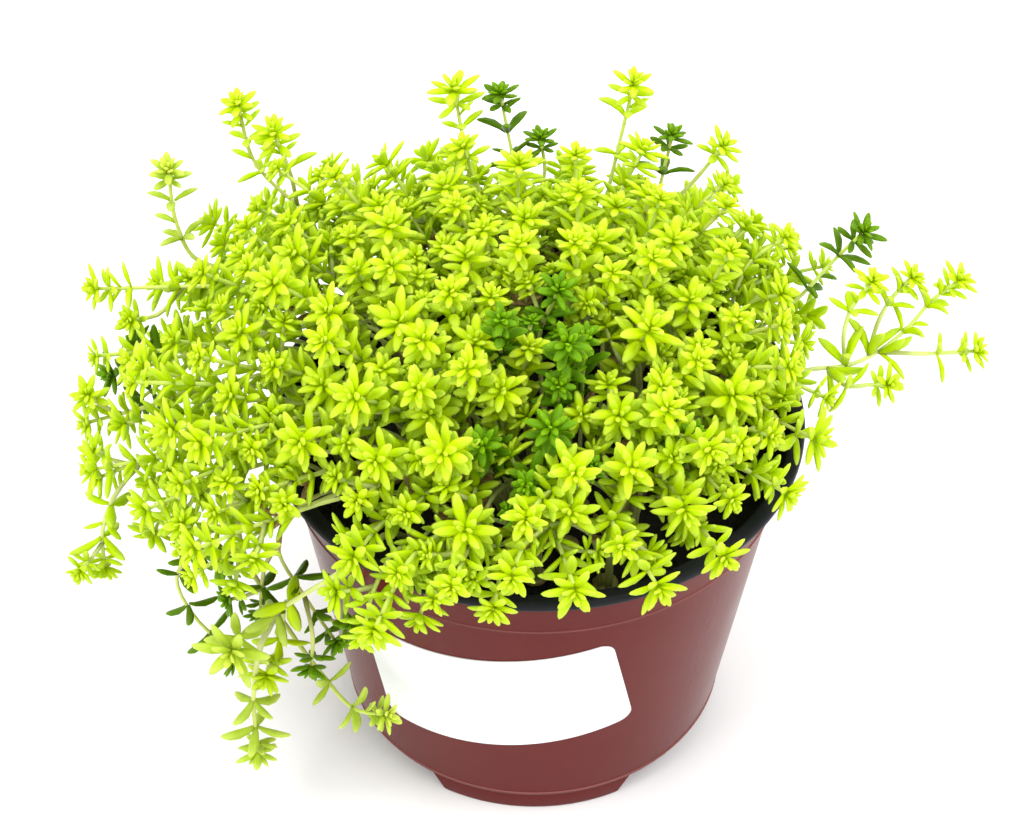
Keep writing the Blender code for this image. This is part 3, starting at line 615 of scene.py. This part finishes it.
def smooth_path(path):
    """Close points on a smooth curve through a stem's way points."""
    gaps = norm(np.diff(path, axis=0), axis=1)
    marks = np.concatenate(([0.0], np.cumsum(gaps)))
    slopes = np.gradient(path, marks, axis=0)
    points = []
    for index, gap in enumerate(gaps):
        count = max(2, round(gap / STEM_STEP))
        for t in np.arange(count) / count:
            points.append(path[index] * (2 * t ** 3 - 3 * t ** 2 + 1)
                          + slopes[index] * gap * (t ** 3 - 2 * t ** 2 + t)
                          + path[index + 1] * (3 * t ** 2 - 2 * t ** 3)
                          + slopes[index + 1] * gap * (t ** 3 - t ** 2))
    points.append(path[-1])
    return np.array(points)


def bands(start, sides, count):
    """Faces of a tube: a first cap, and quads between its rings."""
    faces = [tuple(start + corner for corner in reversed(range(sides)))]
    for low in range(start, start + sides * (count - 1), sides):
        for corner in range(sides):
            after = (corner + 1) % sides
            faces.append((low + corner, low + after, low + sides + after, low + sides + corner))
    return faces


def leaf_faces():
    """Faces of one leaf: a tube, and a fan at the tip."""
    tip = len(LEAF_OUTLINE) * LEAF_SIDES
    last = [*range(tip - LEAF_SIDES, tip)]
    fan = [(here, after, tip) for here, after in zip(last, last[1:] + last[:1])]
    return bands(0, LEAF_SIDES, len(LEAF_OUTLINE)) + fan


def leaf_points(rows):
    """Points of many leaves at once: an array by leaf, point and axis."""
    base, out, up = rows[:, 0:3], rows[:, 3:6], rows[:, 6:9]
    size, half, low, high, yaw, roll = (rows[:, [column]] for column in range(9, 15))
    side = np.cross(up, out)[:, None]
    shares = np.array((*LEAF_SHARES, 1.0))
    rises = low + (high - low) * shares
    middle = np.concatenate((rises[:, :1], (rises[:, 1:] + rises[:, :-1]) / 2), axis=1)
    steps = np.diff(shares, prepend=0.0) * size
    ahead = np.cumsum(np.cos(middle) * steps, axis=1)[..., None]
    above = np.cumsum(np.sin(middle) * steps, axis=1)[..., None]
    aside = (yaw * shares ** 2 * size)[..., None]
    line = base[:, None] + out[:, None] * ahead + up[:, None] * above + side * aside
    skin = up[:, None] * np.cos(rises)[..., None] - out[:, None] * np.sin(rises)[..., None]
    tilt_cos, tilt_sin = np.cos(roll)[..., None], np.sin(roll)[..., None]
    across = side * tilt_cos + skin * tilt_sin
    above_leaf = skin * tilt_cos - side * tilt_sin
    corners = []
    for corner in range(LEAF_SIDES):
        angle = tau * corner / LEAF_SIDES
        thick = LEAF_TOP if sin(angle) > 0 else LEAF_BELOW
        reach = (half * LEAF_OUTLINE)[..., None]
        corners.append(line[:, :-1] + across[:, :-1] * reach * cos(angle)
                       + above_leaf[:, :-1] * reach * thick * sin(angle))
    rings = np.stack(corners, axis=2).reshape(len(rows), -1, 3)
    return np.concatenate((rings, line[:, -1:]), axis=1)


class Growth:
    """The leaves and stems of one sprig."""

    def __init__(self, draw):
        self.draw = draw
        self.leaves, self.points, self.values, self.faces = [], [], [], []
        self.kind, self.shade = GOLD, 0.0

    def leaf(self, base, out, up, length, rises, age, kind):
        """One leaf: rises are its slopes at base and tip."""
        draw = self.draw
        size = length * draw.uniform(0.84, 1.07)
        low, high = (radians(rise + draw.gauss(0, 8)) for rise in rises)
        half = LEAF_WIDTH * size ** 0.6 * 6 ** 0.4 * draw.uniform(0.92, 1.12)
        twist = (draw.gauss(0, 0.07), draw.gauss(0, 0.16))
        age = min(1.0, max(0.0, age + draw.uniform(-0.05, 0.05)))
        shade = min(1.0, max(0.0, self.shade + draw.gauss(0, 0.05)))
        slope = 0.6 * low + 0.4 * high
        heading = out * cos(slope) + up * sin(slope)
        spots = np.array([(*(base + heading * size * share), 0.5) for share in (0.6, 1.0)])
        if has_room(spots):
            self.leaves.append((*base, *out, *up, size, half, low, high, *twist, age, shade, kind))

    def whorl(self, centre, direction, leaves, length, rises, phase, age, dry=False):
        """Leaves round a stem."""
        first, second = side_axes(direction)
        for index in range(leaves):
            angle = phase + tau * index / leaves + self.draw.gauss(0, 0.12)
            out = first * cos(angle) + second * sin(angle)
            kind = DRY if dry else self.kind
            self.leaf(centre + out * 0.3, out, direction, length, rises, age, kind)

    def stem(self, path, radii, brown):
        """A round stem, thinner towards its head."""
        points = smooth_path(path)
        start = len(self.points)
        last = len(points) - 1
        first = side_axes(unit(points[1] - points[0]))[0]
        for index, point in enumerate(points):
            direction = unit(points[min(index + 1, last)] - points[max(index - 1, 0)])
            first = unit(first - direction * np.dot(first, direction))
            share = index / last
            radius = (radii[0] + (radii[1] - radii[0]) * share) * (1 + 0.07 * sin(2.1 * index))
            for side in ring(first, np.cross(direction, first), STEM_SIDES):
                self.points.append(point + side * radius)
                self.values.append((share, brown, self.draw.random()))
        self.faces += bands(start, STEM_SIDES, len(points))
        self.faces.append(tuple(range(len(self.points) - STEM_SIDES, len(self.points))))

    def crown(self, x, y):
        """The rooted crown: a rough lump on the soil."""
        start = len(self.points)
        shape = bmesh.new()
        bmesh.ops.create_icosphere(shape, subdivisions=2, radius=1.0)
        for vert in shape.verts:
            swell = 0.88 + 0.1 * self.draw.random()
            place = np.array(vert.co) * (CROWN_RADIUS, CROWN_RADIUS, CROWN_HEIGHT) * swell
            self.points.append(crown_point(x, y) + place)
            self.values.append((0.0, CROWN_BROWN, self.draw.random()))
        self.faces += [tuple(start + vert.index for vert in face.verts) for face in shape.faces]
        shape.free()

    def make(self, name, materials):
        """The sprig's object, with its growth values on its points."""
        rows = np.array(self.leaves)
        leaves = leaf_points(rows)
        values = np.empty((*leaves.shape[:2], 3))
        values[..., 0] = [*np.repeat(LEAF_SHARES, LEAF_SIDES), 1.0]
        values[..., 1:] = rows[:, None, 15:17]
        one_leaf = leaf_faces()
        kinds = [STEM] * len(self.faces) + [int(kind) for kind in rows[:, 17] for _ in one_leaf]
        faces = list(self.faces)
        for index in range(len(rows)):
            start = len(self.points) + index * leaves.shape[1]
            faces += [tuple(start + corner for corner in face) for face in one_leaf]
        points = np.concatenate((np.array(self.points), leaves.reshape(-1, 3))) * MM
        values = np.concatenate((np.array(self.values), values.reshape(-1, 3)))
        mesh = bpy.data.meshes.new(name)
        mesh.from_pydata(points.tolist(), [], faces)
        worn = sorted(set(kinds))
        for kind in worn:
            mesh.materials.append(materials[kind])
        mesh.polygons.foreach_set("material_index", [worn.index(kind) for kind in kinds])
        mesh.shade_smooth()
        growth = mesh.color_attributes.new("growth", 'FLOAT_COLOR', 'POINT')
        growth.data.foreach_set("color", np.insert(values, 3, 1.0, axis=1).ravel())
        return link(name, mesh)


def link(name, data):
    thing = bpy.data.objects.new(name, data)
    bpy.context.scene.collection.objects.link(thing)
    return thing


def has_room(spots):
    """Whether spheres clear the pot and soil and stay in the solids' box."""
    low, high = (np.array(corner) / MM for corner in CAD_BOX)
    inside_box = np.all(spots[:, :3] > low - BOX_ROOM) and np.all(spots[:, :3] < high + BOX_ROOM)
    radius = np.hypot(spots[:, 0], spots[:, 1])
    over_soil = np.all((radius > COLLAR_RADIUS) | (spots[:, 2] > soil_height(radius) + 1))
    return inside_box and over_soil and clears_pot(spots)


def grow_head(growth, shoot):
    """A rosette: tiers of leaves round a stem's tip."""
    centre, direction = point_back(shoot.path, 0.0)
    sway = np.array([growth.draw.gauss(0, HEAD_SWAY) for _ in range(3)])
    if not shoot.sprig.startswith("golden"):
        sway = sway + LOOSE_LEAN
    direction = unit(direction + sway)
    for leaves, length, place, low, high, turn, age in HEAD_TIERS:
        growth.whorl(centre + direction * place * shoot.head, direction, leaves,
                     length * shoot.head, (low, high), shoot.phase + turn * tau / leaves, age)


def grow_lower_leaves(growth, shoot):
    """Whorls below the head, older down the stem."""
    draw = growth.draw
    mound = shoot.sprig.startswith("golden")
    dry_here = mound and near_place(shoot.path[-1], DRY_PLACES)
    for order, back in enumerate(MOUND_WHORLS if mound else shoot.whorls):
        if back > path_length(shoot.path) - 5:
            break
        age = min(1.0, 0.7 + 0.1 * order)
        phase = shoot.phase + 0.8 * order
        if mound:
            dry = (order == 3 or dry_here) and draw.random() < DRY_SHARE
            growth.whorl(*point_back(shoot.path, back), WHORL_LEAVES, LOWER_LEAF, (50, 24), phase,
                         age, dry)
            continue
        growth.whorl(*point_back(shoot.path, back + draw.uniform(-1, 1)), draw.randint(3, 4),
                     LOWER_LEAF * draw.uniform(0.9, 1.3), (draw.uniform(20, 55), -12), phase, age)
        growth.whorl(*point_back(shoot.path, back - draw.uniform(2.5, 4.5)), draw.randint(0, 2),
                     0.8 * LOWER_LEAF, (46, 16), phase + back, 0.5 + 0.1 * order)


def grow_sprig(name, shoots, materials):
    """The leaves, stems and crown of one sprig."""
    draw = random.Random(name)
    growth = Growth(draw)
    brown = 0.25 * draw.random() ** 2
    growth.crown(*shoots[0].crown)
    for shoot in shoots:
        growth.kind = KINDS[shoot.tint]
        growth.shade = draw.uniform(0.0, 0.5)
        if path_length(shoot.path) < SHORT:
            growth.shade += 0.5
        in_green = name.startswith("golden") and near_place(shoot.path[-1], GREEN_PLACES)
        if in_green and draw.random() < LIME_SHARE:
            growth.kind = LIME
            shoot.head *= LIME_SIZE
        growth.stem(shoot.path, STEM_RADII[shoot.tint], brown)
        grow_head(growth, shoot)
        grow_lower_leaves(growth, shoot)
        if name in LEAFY_FORKS and shoot is not shoots[0]:
            fork = point_back(shoot.path, path_length(shoot.path) - 0.5)
            growth.whorl(*fork, 3, FORK_LEAF, (60, 20), shoot.phase, 0.8)
    return growth.make(f"{name}_foliage", materials)


# ---- materials

# Plain values of a skin
LEAF_SKIN = {"Subsurface Weight": 0.5, "Subsurface Radius": (0.8, 1.0, 0.1),
             "Subsurface Scale": 0.0016, "Specular IOR Level": 0.1}
STEM_SKIN = {"Subsurface Weight": 0.3, "Subsurface Radius": (1.0, 0.8, 0.3),
             "Subsurface Scale": 0.001, "Roughness": 0.5}
FLOOR_SKIN = {"Base Color": (0.93, 0.93, 0.93, 1.0), "Roughness": 0.8}
# Skins of one noise: plain values, the noise, colours along it, another noise for the bumps
# or None, and the bumps' strength and depth
DRY_SKIN = ({"Roughness": 0.8}, (900.0,), ((0.3, (0.20, 0.10, 0.03)), (0.7, (0.50, 0.34, 0.12))),
            None, (0.8, 0.0004))
LABEL_SKIN = ({"Roughness": 0.32}, (1800.0, 5.0),
              ((0.3, (0.86, 0.87, 0.87)), (0.7, (0.93, 0.93, 0.93))), (240.0, 2.0), (0.08, 0.0003))
SOIL_SKIN = ({"Roughness": 0.9}, (350.0, 6.0, 0.7),
             ((0.35, (0.005, 0.004, 0.003)), (0.62, (0.018, 0.012, 0.008)),
              (0.85, (0.07, 0.045, 0.025))), None, (1.0, 0.0015))
STEM_COLOURS = ((0.0, (0.28, 0.34, 0.07)), (0.45, (0.68, 0.76, 0.26)), (1.0, (0.60, 0.76, 0.10)))
# Leaf colours: young, grown, old, at the tip (pale tips with a painted waxy highlight), and in the shade
LEAF_COLOURS = {
    GOLD: ("leaf_gold", (0.54, 0.70, 0.008), (0.54, 0.72, 0.001), (0.44, 0.61, 0.001),
           (0.55, 0.72, 0.12), (0.46, 0.65, 0.001)),
    PALE: ("leaf_pale", (0.57, 0.68, 0.05), (0.45, 0.60, 0.035), (0.29, 0.40, 0.025),
           (0.68, 0.79, 0.20), (0.48, 0.60, 0.09)),
    GREEN: ("leaf_green", (0.17, 0.36, 0.002), (0.10, 0.21, 0.001), (0.06, 0.13, 0.001),
            (0.16, 0.30, 0.004), (0.12, 0.25, 0.002)),
    LIME: ("leaf_lime", (0.21, 0.42, 0.001), (0.12, 0.28, 0.001), (0.06, 0.15, 0.001),
           (0.21, 0.40, 0.008), (0.10, 0.26, 0.001)),
}


def new_material(name, sockets):
    """A material, its nodes and its shader, with plain values."""
    material = bpy.data.materials.new(name)
    material.use_nodes = True
    tree = material.node_tree
    shader = tree.nodes["Principled BSDF"]
    for socket, value in sockets.items():
        shader.inputs[socket].default_value = value
    return material, tree, shader


def add(tree, kind, inputs=(), **settings):
    """A shader node; inputs are sockets with their value or another node's output."""
    made = tree.nodes.new("ShaderNode" + kind)
    for key, value in settings.items():
        setattr(made, key, value)
    for key, value in inputs:
        if isinstance(value, bpy.types.NodeSocket):
            tree.links.new(value, made.inputs[key])
        else:
            made.inputs[key].default_value = value
    return made


def ramp(tree, factor, stops):
    """Colours along a factor; stops are places and colours."""
    made = add(tree, "ValToRGB", ((0, factor),))
    elements = made.color_ramp.elements
    while len(elements) < len(stops):
        elements.new(0.5)
    for element, (place, colour) in zip(elements, stops):
        element.position = place
        element.color = (*colour, 1.0)
    return made.outputs[0]


def fade(tree, colour, other, value, low, high, most):
    """A colour that turns into another as a value grows."""
    share = spread(tree, value, low, high, 0.0, most)
    a, b = ((*end, 1.0) if isinstance(end, tuple) else end for end in (colour, other))
    return add(tree, "Mix", ((0, share), (6, a), (7, b)), data_type='RGBA').outputs[2]


def spread(tree, *settings):
    """A value from one range in another; settings are the value and both ranges."""
    return add(tree, "MapRange", enumerate(settings)).outputs[0]


def speckle(tree, scale, detail=3.0, roughness=0.5):
    """Noise over the object, in patches per metre."""
    place = add(tree, "TexCoord").outputs["Object"]
    inputs = (("Vector", place), ("Scale", scale), ("Detail", detail), ("Roughness", roughness))
    return add(tree, "TexNoise", inputs).outputs[0]


def rough_skin(tree, shader, height, strength, distance):
    inputs = (("Height", height), ("Strength", strength), ("Distance", distance))
    tree.links.new(add(tree, "Bump", inputs).outputs[0], shader.inputs["Normal"])


def growth_values(tree):
    """Share along a leaf or stem, age or brownness, and shade."""
    values = add(tree, "Attribute", attribute_name="growth").outputs["Color"]
    return add(tree, "SeparateColor", ((0, values),)).outputs


def leaf_material(name, young, grown, old, tip, shaded):
    """Waxy leaf skin: colour by age and shade, lighter at the tip, which holds both the pale tips and a
    painted highlight.
    """
    material, tree, shader = new_material(name, LEAF_SKIN)
    along, age, shade = growth_values(tree)
    colour = ramp(tree, age, ((0.0, young), (0.35, grown), (1.0, old)))
    colour = fade(tree, colour, shaded, shade, 0.0, 1.0, 0.8)
    # the tip colour is the leaves' pale tips and also a painted waxy highlight
    colour = fade(tree, colour, tip, along, 0.5, 1.0, 0.55)
    colour = fade(tree, colour, old, speckle(tree, 420.0), 0.3, 0.75, 0.25)
    tree.links.new(colour, shader.inputs["Base Color"])
    fine = speckle(tree, 2600.0, 2.0)
    tree.links.new(spread(tree, fine, 0.3, 0.7, 0.34, 0.5), shader.inputs["Roughness"])
    rough_skin(tree, shader, fine, 0.25, 0.00012)
    return material


def stem_material():
    """Pale stems, some of them pinkish brown."""
    material, tree, shader = new_material("stem_skin", STEM_SKIN)
    along, brown, _ = growth_values(tree)
    colour = fade(tree, ramp(tree, along, STEM_COLOURS), (0.42, 0.24, 0.12), brown, 0.0, 1.0, 1.0)
    patches = speckle(tree, 700.0)
    colour = fade(tree, colour, (0.36, 0.42, 0.10), patches, 0.4, 0.7, 0.2)
    tree.links.new(colour, shader.inputs["Base Color"])
    rough_skin(tree, shader, patches, 0.4, 0.0002)
    return material


def mottled(name, sockets, grain, stops, relief, bump, gloss=None):
    """Skin with colours and bumps along a noise."""
    material, tree, shader = new_material(name, sockets)
    patches = speckle(tree, *grain)
    tree.links.new(ramp(tree, patches, stops), shader.inputs["Base Color"])
    if gloss:
        tree.links.new(spread(tree, patches, 0.3, 0.7, *gloss), shader.inputs["Roughness"])
    rough_skin(tree, shader, speckle(tree, *relief) if relief else patches, *bump)
    return material


def pot_material(name, dark, light, roughness):
    """Moulded plastic: nearly even, softly glossy, faintly wavy."""
    return mottled(name, {"Specular IOR Level": 0.1}, (60.0, 4.0), ((0.3, dark), (0.7, light)),
                   (45.0, 1.0), (0.12, 0.0008), (roughness - 0.03, roughness + 0.03))


# ---- pot, label, soil

LOOK_SEGMENTS = 192
BEADS = (BASE_Z + 1.0, COLLAR_Z)  # heights of the raised lines round the wall
LABEL_LAYERS = ((0.04, 1.0), (0.24, 1.0), (0.3, 0.997))  # height over the wall, and size
CRUMBS = 420  # bits of bark and peat on the soil
CRUMB_STRETCH = ((0.6, 1.6), (0.6, 1.2), (0.4, 0.9))
# Outside, inside with the rim, and the raised lines' upper facets with a painted highlight: two colours
# and the roughness
POT_SKINS = (
    ("pot_outside", (0.114, 0.012, 0.010), (0.122, 0.014, 0.012), 0.24),
    ("pot_inside", (0.010, 0.011, 0.013), (0.018, 0.019, 0.022), 0.42),
    # painted highlight: a lighter red on the upper facet of each raised line, where light catches it
    ("pot_bead_painted_highlight", (0.23, 0.075, 0.066), (0.25, 0.085, 0.075), 0.24),
)


def to_mesh(shape, name):
    """The mesh of a finished shape."""
    mesh = bpy.data.meshes.new(name)
    shape.to_mesh(mesh)
    shape.free()
    return mesh


def rounded(centre, radius, start, end, steps=6):
    """Arc in the pot's section, by its angles in degrees."""
    arc = (polar(radius, radians(angle)) for angle in np.linspace(start, end, steps))
    return [(centre[0] + x, centre[1] + y) for x, y in arc]


def bead(radius, z, depth):
    """Fine raised line round the wall, above a height."""
    return [(radius, z), (radius + depth - 0.05, z + 0.25), (radius + depth, z + 0.45),
            (radius + depth - 0.18, z + 0.7)]


def pot_profile():
    """Section of the pot, from under its base round to its floor."""
    rim_low = POT_HEIGHT - RIM_DEPTH
    collar_top = float(wall_radius(rim_low))
    step_radius = COLLAR_RADIUS + COLLAR_STEP
    walls = [BASE_Z + (COLLAR_Z - BASE_Z) * share for share in (0.25, 0.5, 0.75, 0.97)]
    return [
        (0.0, BASE_Z), (BASE_RADIUS - 5, BASE_Z),
        *rounded((BASE_RADIUS - 0.75, BASE_Z + 0.75), 0.75, -90, -5),
        *bead(BASE_RADIUS + 0.1, BEADS[0], 0.3),
        *((float(wall_radius(z)), z) for z in walls),
        (COLLAR_RADIUS - 0.15, COLLAR_Z - 0.6),
        *bead(COLLAR_RADIUS, BEADS[1], COLLAR_STEP + 0.2),
        (step_radius + 0.12, COLLAR_Z + 1.6),
        ((step_radius + collar_top) / 2, (COLLAR_Z + rim_low) / 2 + 0.3),
        (collar_top - 0.1, rim_low - 0.4), (collar_top + 0.25, rim_low),
        *rounded((RIM_RADIUS - 0.8, rim_low + 0.8), 0.8, -90, 0),
        *rounded((RIM_RADIUS - 1.1, POT_HEIGHT - 1.1), 1.1, 0, 90),
        *rounded((collar_top + 0.1, POT_HEIGHT - 0.8), 0.8, 90, 180),
        (collar_top - WALL, POT_HEIGHT - 2.6), (step_radius - WALL, COLLAR_Z + 1.0),
        (COLLAR_RADIUS - WALL, COLLAR_Z),
        ((COLLAR_RADIUS + BASE_RADIUS) / 2 - WALL, (COLLAR_Z + BASE_Z) / 2),
        (BASE_RADIUS - WALL, BASE_Z + WALL + 1.0), (BASE_RADIUS - WALL - 1, BASE_Z + WALL),
        (0.0, BASE_Z + WALL),
    ]


def turned(profile, segments):
    """Solid of revolution from a section that starts and ends on the axis."""
    shape = bmesh.new()
    points = [shape.verts.new((radius, 0, z)) for radius, z in profile]
    edges = [shape.edges.new(pair) for pair in zip(points[:-1], points[1:])]
    bmesh.ops.spin(shape, geom=points + edges, axis=(0, 0, 1), cent=(0, 0, 0),
                   angle=tau, steps=segments, use_merge=True)
    bmesh.ops.remove_doubles(shape, verts=shape.verts, dist=0.001)
    bmesh.ops.recalc_face_normals(shape, faces=shape.faces)
    return to_mesh(shape, "turned")


def foot(azimuth):
    """A foot segment with sloping ends and a rounded edge."""
    inner = FOOT_RADIUS - FOOT_WIDTH
    top = BASE_Z + 0.4
    narrow, wide = FOOT_HALF_ANGLES
    shape = bmesh.new()
    rings = []
    for radius, z in ((inner, top), (inner, 0.6), (inner + 0.6, 0.0), (FOOT_RADIUS - 0.7, 0.0),
                      (FOOT_RADIUS - 0.2, 0.2), (FOOT_RADIUS, 0.7), (FOOT_RADIUS, top)):
        half = narrow + (wide - narrow) * (z / top)
        rings.append([shape.verts.new((*polar(radius, angle), z))
                      for angle in np.linspace(azimuth - half, azimuth + half, FOOT_STEPS)])
    for low, high in zip(rings, rings[1:] + rings[:1]):
        for index in range(FOOT_STEPS - 1):
            shape.faces.new((low[index], low[index + 1], high[index + 1], high[index]))
    for end in (0, FOOT_STEPS - 1):
        cap = shape.faces.new([ring[end] for ring in rings])
        bmesh.ops.triangulate(shape, faces=[cap])
    bmesh.ops.recalc_face_normals(shape, faces=shape.faces)
    return to_mesh(shape, "foot")


def drain(index):
    """Cutter of a drain hole."""
    centre = polar(DRAIN_CIRCLE, tau * (index + 0.5) / DRAIN_COUNT)
    shape = bmesh.new()
    bmesh.ops.create_cone(shape, cap_ends=True, segments=32, radius1=DRAIN_RADIUS,
                          radius2=DRAIN_RADIUS, depth=3 * WALL,
                          matrix=Matrix.Translation((*centre, BASE_Z + WALL / 2)))
    return to_mesh(shape, "drain")


def combine(mesh, others, operation):
    """The mesh joined with, or cut by, each of the others."""
    helpers = [link("helper", shape) for shape in (mesh, *others)]
    for helper in helpers[1:]:
        cut = helpers[0].modifiers.new("combine", 'BOOLEAN')
        cut.operation = operation
        cut.solver = 'EXACT'
        cut.object = helper
    shape = helpers[0].evaluated_get(bpy.context.evaluated_depsgraph_get())
    result = bpy.data.meshes.new_from_object(shape)
    for helper in helpers:
        bpy.data.objects.remove(helper)
    return result


def make_pot():
    """The pot with its drain holes and feet."""
    mesh = combine(turned(pot_profile(), LOOK_SEGMENTS),
                   [drain(index) for index in range(DRAIN_COUNT)], 'DIFFERENCE')
    mesh = combine(mesh, [foot(radians(-90) + tau * index / FOOT_COUNT)
                          for index in range(FOOT_COUNT)], 'UNION')
    mesh.materials.clear()
    for skin in POT_SKINS:
        mesh.materials.append(pot_material(*skin))
    for face in mesh.polygons:
        x, y, z = face.center
        outside = z < BASE_Z + 0.5 or hypot(x, y) > wall_radius(z) - 0.4 * WALL
        face.material_index = 0 if outside and z < POT_HEIGHT - RIM_DEPTH + 0.02 else 1
        # the upper facets of the raised lines take the painted highlight colour
        if outside and any(0.45 < z - low < 0.7 for low in BEADS):
            face.material_index = 2
    mesh.transform(Matrix.Scale(MM, 4))
    mesh.shade_smooth()
    mesh.set_sharp_from_angle(angle=radians(32))
    return link("pot_shell", mesh)


def label_point(u, v, lift):
    """Point on the pot's wall from a place on the flat, tilted label."""
    across = u * cos(LABEL_TILT) - v * sin(LABEL_TILT)
    up = u * sin(LABEL_TILT) + v * cos(LABEL_TILT)
    from_apex = float(wall_radius(LABEL_Z)) / sin(TAPER)
    slant = hypot(across, from_apex + up)
    turn = atan2(across, from_apex + up) / sin(TAPER)
    x, y = polar(slant * sin(TAPER) + lift * cos(TAPER), LABEL_AZIMUTH + turn)
    z = LABEL_Z + (slant - from_apex) * cos(TAPER) - lift * sin(TAPER)
    return (x * MM, y * MM, z * MM)


def make_label():
    """A thin sheet with rounded corners and a rolled edge."""
    straight = LABEL_WIDTH / 2 - LABEL_CORNER
    corner = [(straight + LABEL_CORNER * sin(angle),
               LABEL_HEIGHT / 2 - LABEL_CORNER * (1 - cos(angle)))
              for angle in np.radians(np.linspace(9, 90, 10))]
    columns = [(-u, height) for u, height in reversed(corner)]
    columns += [(u, LABEL_HEIGHT / 2) for u in np.linspace(-straight, straight, 61)]
    columns += corner
    rows = np.linspace(-1, 1, 13)
    points = [label_point(u * size, height * size * row, lift)
              for lift, size in LABEL_LAYERS for u, height in columns for row in rows]
    grid = np.arange(len(columns) * len(rows)).reshape(-1, len(rows))
    under = np.stack((grid[:-1, :-1], grid[:-1, 1:], grid[1:, 1:], grid[1:, :-1]), axis=-1)
    top = np.roll(under[..., ::-1], 1, axis=-1) + 2 * grid.size
    edge = np.array((*grid[:, 0], *grid[-1, 1:], *grid[-2::-1, -1], *grid[0, -2:0:-1]))
    after = np.roll(edge, -1)
    band = np.stack((edge, after, after + grid.size, edge + grid.size), axis=-1)
    faces = np.concatenate((under.reshape(-1, 4), top.reshape(-1, 4), band, band + grid.size))
    mesh = bpy.data.meshes.new("label_sheet")
    mesh.from_pydata(points, [], faces.tolist())
    mesh.materials.append(mottled("label_paper", *LABEL_SKIN))
    mesh.shade_smooth()
    mesh.set_sharp_from_angle(angle=radians(50))
    return link("label_sheet", mesh)


def add_crumbs(shape, reach):
    """Bits of bark and peat on the soil."""
    draw = random.Random(MOUND_SEED)
    for _ in range(CRUMBS):
        radius = reach * sqrt(draw.random())
        angle = draw.uniform(0, tau)
        size = draw.uniform(0.5, 1.5)
        middle = Vector((*polar(radius, angle), soil_height(radius) + 0.25 * size))
        made = bmesh.ops.create_icosphere(shape, subdivisions=1, radius=size)["verts"]
        stretch = Vector([draw.uniform(*limits) for limits in CRUMB_STRETCH])
        turn = Matrix.Rotation(draw.uniform(0, tau), 3, 'Z')
        for vert in made:
            swell = draw.uniform(0.75, 1.1)
            vert.co = middle + turn @ Vector(a * b * swell for a, b in zip(vert.co, stretch))


def make_soil():
    """The root ball, with a rough top and crumbs on it."""
    inside = COLLAR_RADIUS - WALL - GAP
    bottom = BASE_RADIUS - WALL - GAP
    floor_z = BASE_Z + WALL + GAP
    profile = [(0.0, floor_z), (bottom - 0.8, floor_z), (bottom, floor_z + 0.8)]
    profile += [(bottom + (inside - bottom) * share, floor_z + (SOIL_EDGE_Z - floor_z) * share)
                for share in (0.3, 0.6, 0.9)]
    profile += [(inside - 0.3, SOIL_EDGE_Z - 0.4)]
    profile += [(float(radius), soil_height(radius)) for radius in np.linspace(inside - 1.2, 0, 34)]
    mesh = turned(profile, 128)
    shape = bmesh.new()
    shape.from_mesh(mesh)
    for vert in shape.verts:
        if vert.co.z > SOIL_EDGE_Z - 2:
            vert.co.z += 1.3 * noise.fractal(vert.co / 5.0, 0.7, 2.0, 4) - 0.4
    add_crumbs(shape, inside - 2.5)
    shape.to_mesh(mesh)
    shape.free()
    mesh.transform(Matrix.Scale(MM, 4))
    mesh.materials.append(mottled("potting_mix_surface", *SOIL_SKIN))
    mesh.shade_smooth()
    return link("potting_mix", mesh)


# ---- stage, light and camera

def make_stage():
    """A plain white floor."""
    shape = bmesh.new()
    bmesh.ops.create_grid(shape, x_segments=2, y_segments=2, size=FLOOR_SIZE)
    mesh = to_mesh(shape, "floor")
    mesh.materials.append(new_material("floor_paper", FLOOR_SKIN)[0])
    floor = link("floor", mesh)


def area_light(name, place, size, power):
    """A soft light that faces the plant."""
    data = bpy.data.lights.new(name, 'AREA')
    data.size = size
    data.energy = power
    lamp = link(name, data)
    lamp.location = place
    lamp.rotation_euler = (LIGHT_AIM - lamp.location).to_track_quat('-Z', 'Y').to_euler()


def make_light():
    world = bpy.data.worlds.new("studio")
    world.use_nodes = True
    colour, strength = world.node_tree.nodes["Background"].inputs[:2]
    colour.default_value = (1.0, 1.0, 1.0, 1.0)
    strength.default_value = WORLD_STRENGTH
    bpy.context.scene.world = world
    for light in LIGHTS:
        area_light(*light)
    bpy.context.scene.view_settings.view_transform = 'Standard'


def make_camera():
    """Camera that looks down at the pot from its front."""
    data = bpy.data.cameras.new("camera")
    data.lens = CAMERA_LENS
    data.shift_x, data.shift_y = CAMERA_SHIFT
    data.clip_start = 0.01
    camera = link("camera", data)
    camera.matrix_world = (Matrix.Translation(CAMERA_TARGET)
                           @ Matrix.Rotation(radians(90 - CAMERA_ELEVATION), 4, 'X')
                           @ Matrix.Rotation(radians(CAMERA_ROLL), 4, 'Z')
                           @ Matrix.Translation((0, 0, CAMERA_DISTANCE)))
    bpy.context.scene.camera = camera


def place(piece, node, slot):
    """A piece that stands for one CAD node."""
    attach(piece, "root")
    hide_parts(node)


def main():
    make_stage()
    make_light()
    make_camera()
    place(make_pot(), "pot", "pot")
    place(make_label(), "label", "label")
    place(make_soil(), "soil", "soil")
    materials = {kind: leaf_material(*colours) for kind, colours in LEAF_COLOURS.items()}
    materials[STEM] = stem_material()
    materials[DRY] = mottled("dry_leaf_skin", *DRY_SKIN)
    shoots = lay_out_shoots()
    shoots += side_shoots(shoots)
    slots = {part["node"]: part["material_slot"] for part in frame["record"]["subparts"]}
    for name in sorted(set(frame["nodes"]) - {"pot", "label", "soil"}):
        members = [shoot for shoot in shoots if shoot.sprig == name]
        place(grow_sprig(name, members, materials), name, slots[name])


main()
